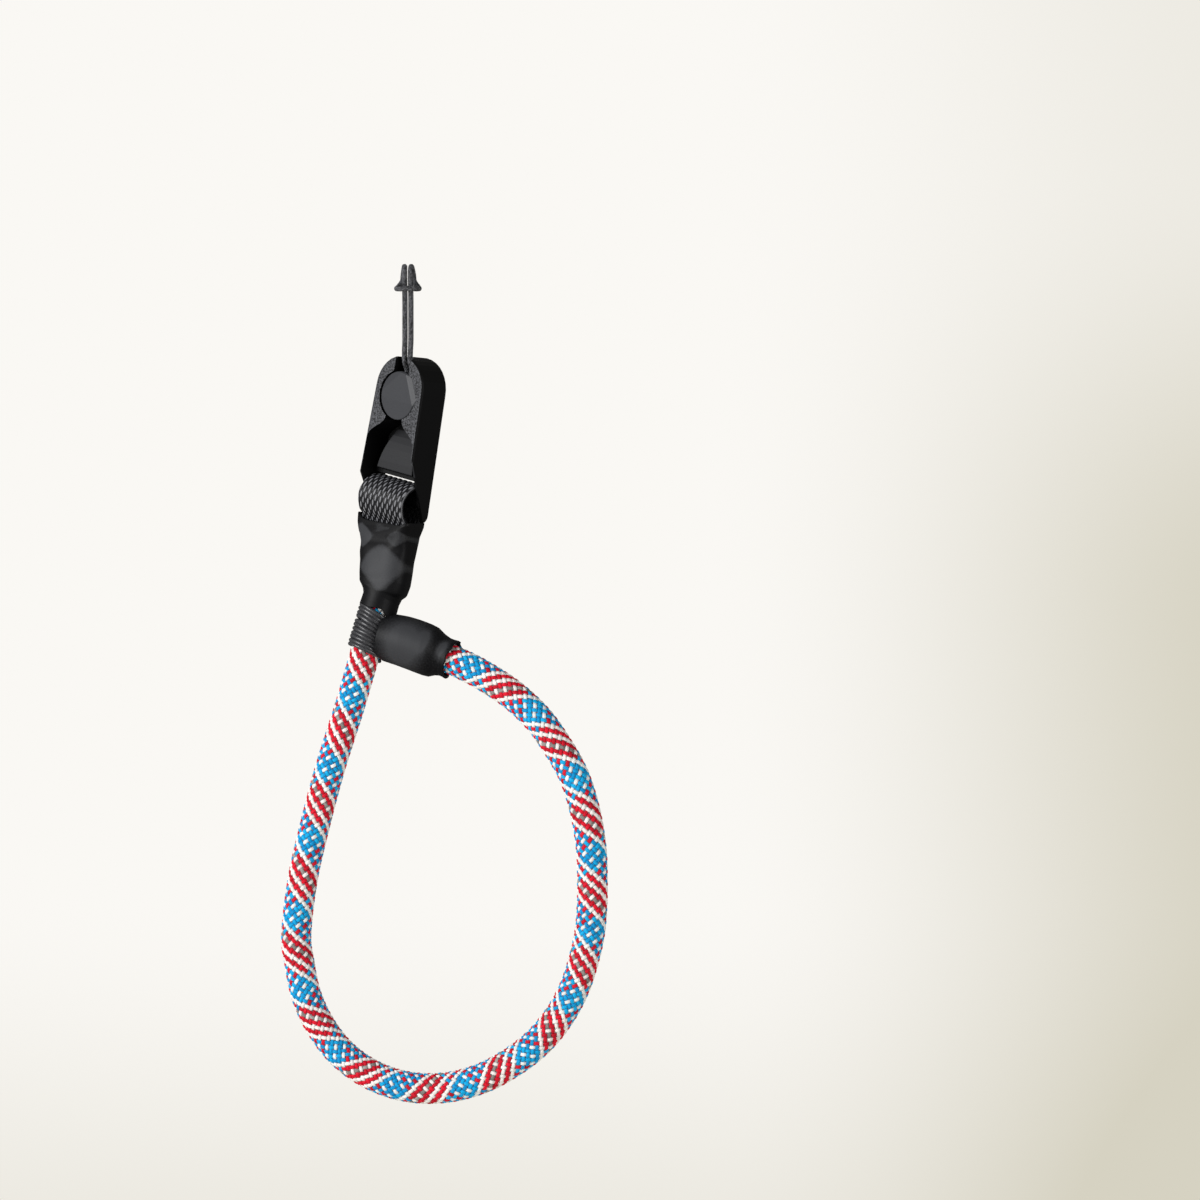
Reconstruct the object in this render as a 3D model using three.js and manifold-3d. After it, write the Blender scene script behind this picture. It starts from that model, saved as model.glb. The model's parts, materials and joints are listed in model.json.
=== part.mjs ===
// Camera wrist strap. A loop of climbing rope hangs from a quick-release link, whose round anchor is
// hitched to its support by a thin braided cord. Two shrunk rubber cuffs and a cord whipping hold the
// ends of the rope, and a short loop of webbing joins the upper cuff to the bar of the link.
// Millimetres, +Z up, seen along +Y. The origin is the middle of the hitch that the strap hangs on.
import * as THREE from "three";
import { mergeVertices } from "three/addons/utils/BufferGeometryUtils.js";
import Module from "manifold-3d";

const wasm = await Module();
wasm.setup();

// Clearance between pieces that touch on the real strap
const GAP = 0.3;

// Anchor cord
const CORD_DIAMETER = 1.75;
const STRAND_SPACING = 2;
const HITCH_BORE = 2.7;
const HITCH_WIDTH = 8;
const HITCH_DROP = 4.6;
const HANG_LENGTH = 25;
const CORD_TAIL = 10;
const CORD_SIDES = 8;
const CORD_STEPS = 72;
const CORD_SPREAD = 1.35;

// Anchor disc
const DISC_DIAMETER = 14.7;
const DISC_THICKNESS = 2.4;
const DISC_RECESS = 0.2;
const DISC_CLEARANCE = 0.45;

// Link housing
const LINK_LENGTH = 50;
const LINK_WIDTH = 20;
const LINK_FOOT_WIDTH = 22.4;
const LINK_FOOT_RADIUS = 3.2;
const LINK_THICKNESS = 10.8;
const LINK_WALL = 1.1;
const LINK_BACK_WALL = 1.4;
const LINK_EDGE = 0.7;
const LINK_TURN = -42;
const LINK_LEAN_RIGHT = 10;
const LINK_LEAN_FRONT = 8;
const DISC_DROP = 12.1;
const NOTCH_WIDTH = 6.4;
const NOTCH_SETBACK = 1.7;
const KEYHOLE_NECK = 7;
const KEYHOLE_DROP = 19;
const KEYHOLE_FLARE = 8;
const FRONT_CUT_DEPTH = 9.2;
const RIGHT_CUT_DROP = 30;
const LEFT_CUT_DROP = 37;
const TONGUE_RISE = 5.3;
const TONGUE_TOP_WIDTH = 5;
const TONGUE_LENGTH = 16.3;
const TONGUE_FOOT_WIDTH = 15.2;
const SILL_DEPTH = 3;
const SILL_HEIGHT = 2.2;
const SLIT_DROP = 37.5;

// Bar of the link and the webbing round it
const BAR_THICKNESS = 3;
const BAR_HEIGHT = 5.2;
const WEBBING_THICKNESS = 1.8;
const WEBBING_BULGE = 0.2;
const WEBBING_TAIL = 1.6;
const WEBBING_STEPS = 44;

// Upper cuff
const CUFF_WALL = 0.8;
const CUFF_WIDTH = 22.6;
const CUFF_THICKNESS = 9.2;
const CUFF_END = 10.3;
const CUFF_RIM_DIP = 15;
const CUFF_SIDES = 28;
const CUFF_RINGS = 19;

// Rope and whipping
const ROPE_DIAMETER = 9.4;
const ROPE_SIDES = 12;
const ROPE_STEPS = 62;
const WHIPPING_CORD = 1.2;
const WHIPPING_TURNS = 11;
const WHIPPING_START = 11.2;
const WHIPPING_SLANT = 14;

// Side cuff
const SIDE_CUFF_DIAMETER = 15.6;
const SIDE_CUFF_REACH = 3.9;
const SIDE_CUFF_COVER = 15.6;
const SIDE_CUFF_LOPSIDE = 0.07;
const SIDE_CUFF_SIDES = 24;
const SIDE_CUFF_RINGS = 17;

// Route of the rope, from inside the upper cuff to inside the side cuff, measured from the middle of
// the upper cuff's rim: right, back and up
const ROPE_ROUTE = [
  { right: -1.5, back: -2.9, up: -17.7 },
  { right: -2.6, back: -3.3, up: -23.8 },
  { right: -3.7, back: -3.6, up: -27.6 },
  { right: -4.9, back: -3.9, up: -31.4 },
  { right: -6.1, back: -4.2, up: -35.7 },
  { right: -7.5, back: -4.4, up: -40.5 },
  { right: -9.6, back: -4.6, up: -47.9 },
  { right: -12.8, back: -4.8, up: -58.8 },
  { right: -16.5, back: -5.1, up: -70.3 },
  { right: -19.3, back: -5.3, up: -79.7 },
  { right: -23.3, back: -5.8, up: -95.3 },
  { right: -26.5, back: -6.4, up: -109.9 },
  { right: -28.3, back: -7.5, up: -126.2 },
  { right: -27.2, back: -8.4, up: -135.2 },
  { right: -25.0, back: -9.5, up: -144.8 },
  { right: -20.4, back: -11.0, up: -154.1 },
  { right: -13.5, back: -12.7, up: -162.3 },
  { right: -4.3, back: -14.8, up: -168.2 },
  { right: 6.3, back: -17.1, up: -171.2 },
  { right: 17.4, back: -19.5, up: -171.1 },
  { right: 28.0, back: -21.7, up: -168.2 },
  { right: 37.5, back: -23.6, up: -163.0 },
  { right: 45.5, back: -25.1, up: -156.6 },
  { right: 51.8, back: -26.3, up: -148.8 },
  { right: 56.3, back: -27.1, up: -140.4 },
  { right: 59.1, back: -27.5, up: -131.9 },
  { right: 60.9, back: -27.7, up: -123.8 },
  { right: 61.6, back: -27.7, up: -115.8 },
  { right: 61.7, back: -27.5, up: -108.1 },
  { right: 61.5, back: -27.1, up: -100.4 },
  { right: 60.5, back: -26.5, up: -92.6 },
  { right: 58.7, back: -25.6, up: -84.6 },
  { right: 55.8, back: -24.4, up: -76.4 },
  { right: 51.2, back: -22.7, up: -68.4 },
  { right: 45.4, back: -20.5, up: -60.4 },
  { right: 37.6, back: -17.7, up: -53.2 },
  { right: 28.1, back: -14.3, up: -47.1 },
  { right: 20.1, back: -11.5, up: -43.2 },
  { right: 12.1, back: -8.9, up: -40.0 },
  { right: 5.0, back: -6.9, up: -37.5 },
];

// Sections of the upper cuff from rim to neck. along is a share of its length, neck how far the section
// has closed on the rope, swell a share of the size that gives, turn a share of the link's own turn
const CUFF_SECTIONS = [
  { along: 0.0, neck: 0.0, swell: 1.0, turn: 1.0, square: 7 },
  { along: 0.06, neck: 0.03, swell: 1.0, turn: 1.0, square: 7 },
  { along: 0.18, neck: 0.26, swell: 0.98, turn: 0.92, square: 4.6 },
  { along: 0.3, neck: 0.4, swell: 0.98, turn: 0.8, square: 3.8 },
  { along: 0.46, neck: 0.5, swell: 0.98, turn: 0.7, square: 2.9 },
  { along: 0.6, neck: 0.57, swell: 1.0, turn: 0.6, square: 2.7 },
  { along: 0.7, neck: 0.62, swell: 1.01, turn: 0.55, square: 2.6 },
  { along: 0.77, neck: 0.74, swell: 1.02, turn: 0.5, square: 2.4 },
  { along: 0.82, neck: 0.94, swell: 1.01, turn: 0.5, square: 2.1 },
  { along: 0.87, neck: 1.0, swell: 1.0, turn: 0.5, square: 2 },
  { along: 0.94, neck: 1.0, swell: 1.01, turn: 0.5, square: 2 },
  { along: 1.0, neck: 1.0, swell: 1.03, turn: 0.5, square: 2 },
];

// Dents in the upper cuff. around is in degrees from its front, reach in degrees and shares of the
// cuff's length, depth a share of the cuff's wall
const CUFF_DENTS = [
  { along: 0.26, around: -48, reach: 26, span: 0.07, depth: 0.5 },
  { along: 0.26, around: 8, reach: 22, span: 0.07, depth: 0.6 },
  { along: 0.38, around: 38, reach: 24, span: 0.07, depth: 0.5 },
  { along: 0.7, around: -20, reach: 40, span: 0.07, depth: 0.5 },
];

// Sections of the side cuff from the mouth, where the rope comes out, to the whipping
const SIDE_CUFF_SECTIONS = [
  { along: 0.0, swell: 0.14 },
  { along: 0.04, swell: 0.06 },
  { along: 0.12, swell: 0.05 },
  { along: 0.24, swell: 0.4 },
  { along: 0.36, swell: 0.84 },
  { along: 0.5, swell: 1.0 },
  { along: 0.68, swell: 0.98 },
  { along: 0.84, swell: 0.84 },
  { along: 1.0, swell: 0.6 },
];

// Low facets that slope away from the middle of the disc, each a cut toward one bearing
const DISC_FACETS = [
  { toward: 28, start: 0.66, slope: 13 },
  { toward: 28, start: 0.78, slope: 26 },
  { toward: 134, start: 0.7, slope: 9 },
  { toward: 268, start: 0.2, slope: 2.5 },
];

const X = new THREE.Vector3(1, 0, 0);
const Y = new THREE.Vector3(0, 1, 0);
const Z = new THREE.Vector3(0, 0, 1);
const radians = THREE.MathUtils.degToRad;
const mix = THREE.MathUtils.lerp;

// Places that follow from the sizes above, in the link's own frame: x across, -y out of its face, z up,
// with the middle of its top as the origin
const linkFace = -LINK_THICKNESS / 2;
const linkBack = LINK_THICKNESS / 2;
const discBack = linkFace + DISC_RECESS + DISC_THICKNESS;
const cordLane = discBack + GAP + CORD_DIAMETER / 2;
const seatFloor = cordLane + CORD_DIAMETER / 2 + GAP;
const pocketFloor = linkBack - LINK_BACK_WALL;
const innerHalf = LINK_FOOT_WIDTH / 2 - LINK_WALL;
const crestTop = -SLIT_DROP - GAP / 6;
const crest = crestTop - WEBBING_THICKNESS / 2;
const barTop = crest - WEBBING_THICKNESS / 2 - GAP;
const barBack = linkBack - WEBBING_THICKNESS - GAP;
const barMiddle = barBack - BAR_THICKNESS / 2;
const rimDrop = -LINK_LENGTH - GAP;
const rimY = barMiddle - BAR_THICKNESS / 3;
const neckRadius = ROPE_DIAMETER / 2 + GAP + CUFF_WALL;

const linkTurn = new THREE.Matrix4().makeRotationFromEuler(
  new THREE.Euler(radians(LINK_LEAN_FRONT), radians(LINK_LEAN_RIGHT), radians(LINK_TURN)),
);
const notchMouth = new THREE.Vector3(0, linkFace + NOTCH_SETBACK, 0);
const linkOrigin = new THREE.Vector3(0, 0, -HANG_LENGTH).sub(notchMouth.clone().applyMatrix4(linkTurn));
const linkPlace = linkTurn.clone().setPosition(linkOrigin);
const inLink = (x, y, z) => new THREE.Vector3(x, y, z).applyMatrix4(linkPlace);
const rimMiddle = inLink(0, rimY, rimDrop);

const smoothCurve = (points) => new THREE.CatmullRomCurve3(points, false, "catmullrom", 0.5);
const ropePoints = ROPE_ROUTE.map((row) => new THREE.Vector3(row.right, row.back, row.up).add(rimMiddle));
const ropeCurve = smoothCurve(ropePoints);
const ropeLength = ropeCurve.getLength();
const ropeAt = (distance) => ropeCurve.getPointAt(distance / ropeLength);

// Turns a closed three.js geometry into a solid for cutting and joining
function toSolid(geometry) {
  const bare = geometry.clone();
  bare.deleteAttribute("normal");
  bare.deleteAttribute("uv");
  const merged = mergeVertices(bare, 1e-4);
  return new wasm.Manifold(new wasm.Mesh({
    numProp: 3,
    vertProperties: new Float32Array(merged.attributes.position.array),
    triVerts: new Uint32Array(merged.index.array),
  }));
}

// Turns a solid back into a three.js geometry
function toGeometry(solid) {
  const mesh = solid.getMesh();
  const geometry = new THREE.BufferGeometry();
  geometry.setAttribute("position", new THREE.BufferAttribute(mesh.vertProperties, 3));
  geometry.setIndex(new THREE.BufferAttribute(mesh.triVerts, 1));
  geometry.computeVertexNormals();
  return geometry;
}

// Extrudes an outline drawn in x and z from one y to another, with an optional rounded edge
function extrudeDeep(shape, from, to, edge = 0) {
  const geometry = new THREE.ExtrudeGeometry(shape, {
    depth: to - from - 2 * edge,
    curveSegments: 8,
    bevelEnabled: edge > 0,
    bevelThickness: edge,
    bevelSize: edge,
    bevelOffset: -edge,
    bevelSegments: 3,
  });
  geometry.applyMatrix4(new THREE.Matrix4().makeBasis(X, Z, Y.clone().negate()));
  geometry.translate(0, to - edge, 0);
  return geometry;
}

// Extrudes an outline drawn in y and z across x, centred on the link's middle plane
function extrudeAcross(shape, width) {
  const settings = { depth: width, curveSegments: 8, bevelEnabled: false };
  const geometry = new THREE.ExtrudeGeometry(shape, settings);
  geometry.translate(0, 0, -width / 2);
  geometry.applyMatrix4(new THREE.Matrix4().makeBasis(Y, Z, X));
  return geometry;
}

// Joins rings of points into one closed wall, whose last ring meets its first
function ringWall(rings) {
  const sides = rings[0].length;
  const positions = rings.flat().flatMap((point) => point.toArray());
  const index = [];
  rings.forEach((ring, row) => {
    const next = (row + 1) % rings.length;
    ring.forEach((point, side) => {
      const after = (side + 1) % sides;
      const [a, b] = [row * sides + side, row * sides + after];
      const [c, d] = [next * sides + side, next * sides + after];
      index.push(a, d, b, a, c, d);
    });
  });
  const geometry = new THREE.BufferGeometry();
  geometry.setAttribute("position", new THREE.Float32BufferAttribute(positions, 3));
  geometry.setIndex(index);
  geometry.computeVertexNormals();
  return geometry;
}

// Tube of a round section along a curve
function tube(curve, diameter, sides, steps) {
  const section = new THREE.Shape();
  section.setFromPoints(Array.from({ length: sides }, (unused, side) => {
    const angle = (side / sides) * 2 * Math.PI;
    return new THREE.Vector2(Math.cos(angle), Math.sin(angle)).multiplyScalar(diameter / 2);
  }));
  return new THREE.ExtrudeGeometry(section, { steps, bevelEnabled: false, extrudePath: curve });
}

// Reads a table at a share along it, with straight lines between its rows
function readTable(table, column, share) {
  const next = Math.max(1, table.findIndex((row) => row.along >= share));
  const [low, high] = [table[next - 1], table[next]];
  return mix(low[column], high[column], (share - low.along) / (high.along - low.along));
}

// Cord that is hitched to its support and runs down to the back of the disc
function anchorCord() {
  const reach = (HITCH_BORE + CORD_DIAMETER) / 2;
  const half = STRAND_SPACING / 2;
  const wide = (HITCH_WIDTH - CORD_DIAMETER) / 2;
  const front = -reach - CORD_DIAMETER / 3;
  const strand = (side) => [
    inLink(side * half * CORD_SPREAD, cordLane, -CORD_TAIL),
    inLink(side * half * CORD_SPREAD, cordLane, -CORD_TAIL / 2),
    inLink(side * half * CORD_SPREAD, linkFace + NOTCH_SETBACK, -CORD_DIAMETER / 2),
    new THREE.Vector3(side * half, 0, -HANG_LENGTH * 0.8),
    new THREE.Vector3(side * half, 0, -HANG_LENGTH * 0.55),
    new THREE.Vector3(side * half, 0, -HITCH_DROP * 1.75),
    new THREE.Vector3(side * half, -reach * 0.4, -HITCH_DROP),
    new THREE.Vector3(side * half, -reach, 0),
    new THREE.Vector3(side * half * 1.15, 0, reach),
    new THREE.Vector3(side * half * 1.7, reach, 0),
    new THREE.Vector3(side * half * 2, reach, -HITCH_DROP * 0.45),
    new THREE.Vector3(side * wide, reach * 0.6, -HITCH_DROP * 0.88),
    new THREE.Vector3(side * wide * 1.04, -reach * 0.4, -HITCH_DROP * 0.98),
    new THREE.Vector3(side * wide * 0.66, front * 0.95, -HITCH_DROP * 1.03),
  ];
  const bight = new THREE.Vector3(0, front * 1.04, -HITCH_DROP);
  const route = [...strand(-1), bight, ...strand(1).reverse()];
  return tube(smoothCurve(route), CORD_DIAMETER, CORD_SIDES, CORD_STEPS);
}

// Round anchor, a disc with four low facets on its face
function anchorDisc() {
  const radius = DISC_DIAMETER / 2;
  const profile = [
    new THREE.Vector2(0, 0),
    new THREE.Vector2(radius, 0),
    new THREE.Vector2(radius, DISC_THICKNESS * 0.85),
    new THREE.Vector2(radius - DISC_THICKNESS * 0.15, DISC_THICKNESS),
    new THREE.Vector2(0, DISC_THICKNESS),
  ];
  let disc = toSolid(new THREE.LatheGeometry(profile, 40));
  for (const { toward, start, slope } of DISC_FACETS) {
    const cut = new THREE.BoxGeometry(2 * DISC_DIAMETER, DISC_DIAMETER, 2 * DISC_DIAMETER);
    cut.translate(DISC_DIAMETER, DISC_DIAMETER / 2, 0);
    cut.rotateZ(-radians(slope));
    cut.translate(start * radius, DISC_THICKNESS, 0);
    cut.rotateY(radians(toward));
    disc = disc.subtract(toSolid(cut));
  }
  const geometry = toGeometry(disc);
  geometry.applyMatrix4(new THREE.Matrix4().makeBasis(X, Y.clone().negate(), Z.clone().negate()));
  geometry.translate(0, discBack, -DISC_DROP);
  return geometry.applyMatrix4(linkPlace);
}

// Outline of the link from the front: a round top and sides that widen to a foot with round corners
function linkOutline() {
  const top = LINK_WIDTH / 2;
  const foot = LINK_FOOT_WIDTH / 2;
  const corner = LINK_FOOT_RADIUS;
  const shape = new THREE.Shape();
  shape.moveTo(-foot, corner - LINK_LENGTH);
  shape.lineTo(-top, -top);
  shape.absarc(0, -top, top, Math.PI, 0, true);
  shape.lineTo(foot, corner - LINK_LENGTH);
  shape.absarc(foot - corner, corner - LINK_LENGTH, corner, 0, -Math.PI / 2, true);
  shape.lineTo(corner - foot, -LINK_LENGTH);
  shape.absarc(corner - foot, corner - LINK_LENGTH, corner, -Math.PI / 2, -Math.PI, true);
  return shape;
}

// Opening in the face that runs from the disc's seat down to the foot and widens on the way
function keyholeOutline() {
  const neck = KEYHOLE_NECK / 2;
  const flare = KEYHOLE_DROP + KEYHOLE_FLARE;
  const leave = mix(KEYHOLE_DROP, flare, 0.4);
  const arrive = mix(KEYHOLE_DROP, flare, 0.5);
  const shape = new THREE.Shape();
  shape.moveTo(-neck, -DISC_DROP);
  shape.lineTo(-neck, -KEYHOLE_DROP);
  shape.bezierCurveTo(-neck, -leave, -innerHalf, -arrive, -innerHalf, -flare);
  shape.lineTo(-innerHalf, -2 * LINK_LENGTH);
  shape.lineTo(innerHalf, -2 * LINK_LENGTH);
  shape.lineTo(innerHalf, -flare);
  shape.bezierCurveTo(innerHalf, -arrive, neck, -leave, neck, -KEYHOLE_DROP);
  shape.lineTo(neck, -DISC_DROP);
  return shape;
}

function boxShape(left, bottom, right, top) {
  const shape = new THREE.Shape();
  shape.moveTo(left, bottom);
  shape.lineTo(right, bottom);
  shape.lineTo(right, top);
  shape.lineTo(left, top);
  return shape;
}

// Smooth ramp on the floor of the pocket, which widens and rises toward the foot
function tongue() {
  const top = -KEYHOLE_DROP - GAP;
  const bottom = top - TONGUE_LENGTH;
  const crown = pocketFloor - TONGUE_RISE;
  const buried = pocketFloor + LINK_BACK_WALL / 2;
  const side = new THREE.Shape();
  side.moveTo(buried, top);
  side.lineTo(pocketFloor, top);
  side.quadraticCurveTo(crown, mix(top, bottom, 0.45), crown, bottom + TONGUE_RISE * 0.1);
  side.quadraticCurveTo(crown, bottom, crown + TONGUE_RISE * 0.15, bottom);
  side.lineTo(buried, bottom - TONGUE_RISE * 0.2);
  const front = new THREE.Shape();
  const foot = TONGUE_FOOT_WIDTH / 2;
  front.moveTo(-TONGUE_TOP_WIDTH / 2, top);
  front.quadraticCurveTo(-foot * 0.86, mix(top, bottom, 0.5), -foot, bottom);
  front.lineTo(-foot, bottom - TONGUE_RISE);
  front.lineTo(foot, bottom - TONGUE_RISE);
  front.lineTo(foot, bottom);
  front.quadraticCurveTo(foot * 0.86, mix(top, bottom, 0.5), TONGUE_TOP_WIDTH / 2, top);
  const ramp = toSolid(extrudeAcross(side, LINK_FOOT_WIDTH));
  return ramp.intersect(toSolid(extrudeDeep(front, linkFace, linkBack)));
}

// Raised sill across the pocket's floor, whose lower edge is the top of the slit over the webbing
function sill() {
  const bottom = GAP * 1.4 - SLIT_DROP;
  const buried = pocketFloor + LINK_BACK_WALL / 2;
  const shape = boxShape(pocketFloor - SILL_DEPTH, bottom, buried, bottom + SILL_HEIGHT);
  return toSolid(extrudeAcross(shape, 2 * innerHalf + LINK_WALL));
}

// Bar at the foot that the webbing passes round, with round edges
function bar() {
  const radius = BAR_THICKNESS / 2;
  const shape = new THREE.Shape();
  shape.absarc(barMiddle, barTop - radius, radius, 0, Math.PI, false);
  shape.absarc(barMiddle, barTop - BAR_HEIGHT + radius, radius, Math.PI, 2 * Math.PI, false);
  return toSolid(extrudeAcross(shape, 2 * innerHalf + LINK_WALL));
}

// What comes off the front of the foot on one side, from a drop down to the end of the link
function footCut(side, drop) {
  const shape = new THREE.Shape();
  shape.moveTo(linkFace - GAP, -drop);
  shape.lineTo(linkFace, -drop);
  shape.lineTo(linkFace + FRONT_CUT_DEPTH, -LINK_LENGTH);
  shape.lineTo(linkFace + FRONT_CUT_DEPTH, -2 * LINK_LENGTH);
  shape.lineTo(linkFace - LINK_THICKNESS, -2 * LINK_LENGTH);
  const cut = extrudeAcross(shape, LINK_FOOT_WIDTH);
  return toSolid(cut.translate((side * LINK_FOOT_WIDTH) / 2, 0, 0));
}

// Link housing: seat for the disc, notch for the cord, keyhole pocket with its ramp and sill, and the bar
function linkHousing() {
  const disc = new THREE.Shape();
  disc.absarc(0, -DISC_DROP, DISC_DIAMETER / 2 + DISC_CLEARANCE, 0, 2 * Math.PI, false);
  const notch = boxShape(-NOTCH_WIDTH / 2, -DISC_DROP, NOTCH_WIDTH / 2, LINK_WIDTH);
  const window = boxShape(-innerHalf, -2 * LINK_LENGTH, innerHalf, -SLIT_DROP);
  const housing = toSolid(extrudeDeep(linkOutline(), linkFace, linkBack, LINK_EDGE))
    .subtract(toSolid(extrudeDeep(disc, linkFace - GAP, seatFloor)))
    .subtract(toSolid(extrudeDeep(notch, linkFace - GAP, seatFloor)))
    .subtract(toSolid(extrudeDeep(keyholeOutline(), linkFace - GAP, pocketFloor)))
    .subtract(toSolid(extrudeDeep(window, linkFace - GAP, linkBack + GAP)))
    .subtract(footCut(1, RIGHT_CUT_DROP))
    .subtract(footCut(-1, LEFT_CUT_DROP))
    .add(tongue())
    .add(sill())
    .add(bar());
  return toGeometry(housing).applyMatrix4(linkPlace);
}

// Strip of webbing that bulges out of the link, passes over the bar and goes down into the cuff
function webbingLoop() {
  const rimHalf = (CUFF_THICKNESS / 2 - CUFF_WALL) * 0.55 - WEBBING_THICKNESS / 2;
  const insideHalf = (WEBBING_THICKNESS + GAP) / 2;
  const bulge = linkFace - WEBBING_BULGE + WEBBING_THICKNESS / 2;
  const backLeg = linkBack - WEBBING_THICKNESS / 2;
  const down = (share) => mix(crest, rimDrop, share);
  const route = new THREE.SplineCurve([
    new THREE.Vector2(rimY + insideHalf, rimDrop - WEBBING_TAIL),
    new THREE.Vector2(rimY + rimHalf, rimDrop),
    new THREE.Vector2(mix(backLeg, rimY + rimHalf, 0.45), down(0.72)),
    new THREE.Vector2(backLeg, down(0.42)),
    new THREE.Vector2(backLeg, down(0.2)),
    new THREE.Vector2(mix(barMiddle, backLeg, 0.7), down(0.05)),
    new THREE.Vector2(barMiddle, crest),
    new THREE.Vector2(mix(barMiddle, bulge, 0.5), down(0.06)),
    new THREE.Vector2(mix(barMiddle, bulge, 0.85), down(0.23)),
    new THREE.Vector2(bulge, down(0.46)),
    new THREE.Vector2(mix(rimY - rimHalf, bulge, 0.72), down(0.77)),
    new THREE.Vector2(rimY - rimHalf, rimDrop),
    new THREE.Vector2(rimY - insideHalf, rimDrop - WEBBING_TAIL),
  ]);
  const middle = route.getPoints(WEBBING_STEPS);
  const offset = (side) => middle.map((point, at) => {
    const along = middle[Math.min(at + 1, middle.length - 1)].clone().sub(middle[Math.max(at - 1, 0)]);
    return point.clone().add(new THREE.Vector2(-along.y, along.x).setLength(side * WEBBING_THICKNESS / 2));
  });
  const strip = new THREE.Shape([...offset(1), ...offset(-1).reverse()]);
  return extrudeAcross(strip, 2 * (innerHalf - 1.5 * GAP)).applyMatrix4(linkPlace);
}

// Ring of the cuff at a share along its middle line, with its wall or without
function cuffRing(curve, share, outer) {
  const turn = radians(LINK_TURN) * readTable(CUFF_SECTIONS, "turn", share);
  const neck = readTable(CUFF_SECTIONS, "neck", share);
  const swell = readTable(CUFF_SECTIONS, "swell", share);
  const square = readTable(CUFF_SECTIONS, "square", share);
  const inset = outer ? 0 : CUFF_WALL;
  const halfWidth = mix(CUFF_WIDTH / 2, neckRadius, neck) * swell - inset;
  const halfThickness = mix(CUFF_THICKNESS / 2, neckRadius, Math.min(1, 2 * neck)) * swell - inset;
  const middle = curve.getPointAt(share);
  const down = curve.getTangentAt(share);
  const across = new THREE.Vector3(Math.cos(turn), Math.sin(turn), 0).projectOnPlane(down).normalize();
  const back = new THREE.Vector3().crossVectors(across, down);
  const power = (value) => Math.sign(value) * Math.abs(value) ** (2 / square);
  const tilt = (angle, hold) => Math.tan(radians(angle)) * hold ** 6;
  const slant = new THREE.Vector3(tilt(WHIPPING_SLANT, share), -tilt(CUFF_RIM_DIP, 1 - share), 0);
  return Array.from({ length: CUFF_SIDES }, (unused, side) => {
    const angle = (side / CUFF_SIDES) * 2 * Math.PI;
    const bearing = THREE.MathUtils.radToDeg(Math.atan2(Math.sin(angle), Math.cos(angle)));
    const dent = CUFF_DENTS.reduce((sum, row) => {
      const apart = ((bearing + 90 - row.around + 540) % 360) - 180;
      const nearness = (apart / row.reach) ** 2 + ((share - row.along) / row.span) ** 2;
      return sum + row.depth * Math.exp(-nearness);
    }, 0);
    const keep = 1 - (dent * CUFF_WALL) / neckRadius;
    const point = middle.clone()
      .addScaledVector(across, power(Math.cos(angle)) * halfWidth * keep)
      .addScaledVector(back, power(Math.sin(angle)) * halfThickness * keep);
    return point.addScaledVector(down, point.clone().sub(middle).dot(slant));
  });
}

// Upper cuff, a rubber sleeve shrunk over the webbing at its flat rim and the rope at its round neck
function upperCuff() {
  const curve = smoothCurve([rimMiddle, ropeAt(0), ropeAt(CUFF_END / 2), ropeAt(CUFF_END)]);
  const shares = Array.from({ length: CUFF_RINGS }, (unused, row) => row / (CUFF_RINGS - 1));
  const outer = shares.map((share) => cuffRing(curve, share, true));
  const inner = shares.map((share) => cuffRing(curve, share, false)).reverse();
  return ringWall([...outer, ...inner]);
}

const whippingLength = WHIPPING_TURNS * WHIPPING_CORD;
const whippingBore = ROPE_DIAMETER / 2 + GAP;
const whippingRadius = ROPE_DIAMETER / 2 + WHIPPING_CORD;
const whippingTop = ropeAt(WHIPPING_START);
const whippingFoot = ropeAt(WHIPPING_START + whippingLength);
const whippingAxis = whippingTop.clone().sub(whippingFoot).normalize();
const whippingMiddle = whippingTop.clone().add(whippingFoot).multiplyScalar(0.5);
const whippingPlace = new THREE.Matrix4()
  .makeRotationFromQuaternion(new THREE.Quaternion().setFromUnitVectors(Z, whippingAxis))
  .setPosition(whippingMiddle);

// Whipping, turns of waxed cord side by side round the rope, which slant down to the right
function whipping() {
  const profile = [new THREE.Vector2(whippingBore, -whippingLength / 2)];
  for (let turn = 0; turn < WHIPPING_TURNS; turn += 1) {
    const middle = (turn + 0.5) * WHIPPING_CORD - whippingLength / 2;
    for (const angle of [-54, 0, 54]) {
      const out = whippingRadius - WHIPPING_CORD / 2 + (Math.cos(radians(angle)) * WHIPPING_CORD) / 2;
      profile.push(new THREE.Vector2(out, middle + (Math.sin(radians(angle)) * WHIPPING_CORD) / 2));
    }
  }
  profile.push(new THREE.Vector2(whippingBore, whippingLength / 2), profile[0].clone());
  const slant = new THREE.Matrix4().makeShear(0, -Math.tan(radians(WHIPPING_SLANT)), 0, 0, 0, 0);
  const geometry = new THREE.LatheGeometry(profile, 24).rotateX(Math.PI / 2);
  return geometry.applyMatrix4(slant).applyMatrix4(whippingPlace);
}

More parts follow.
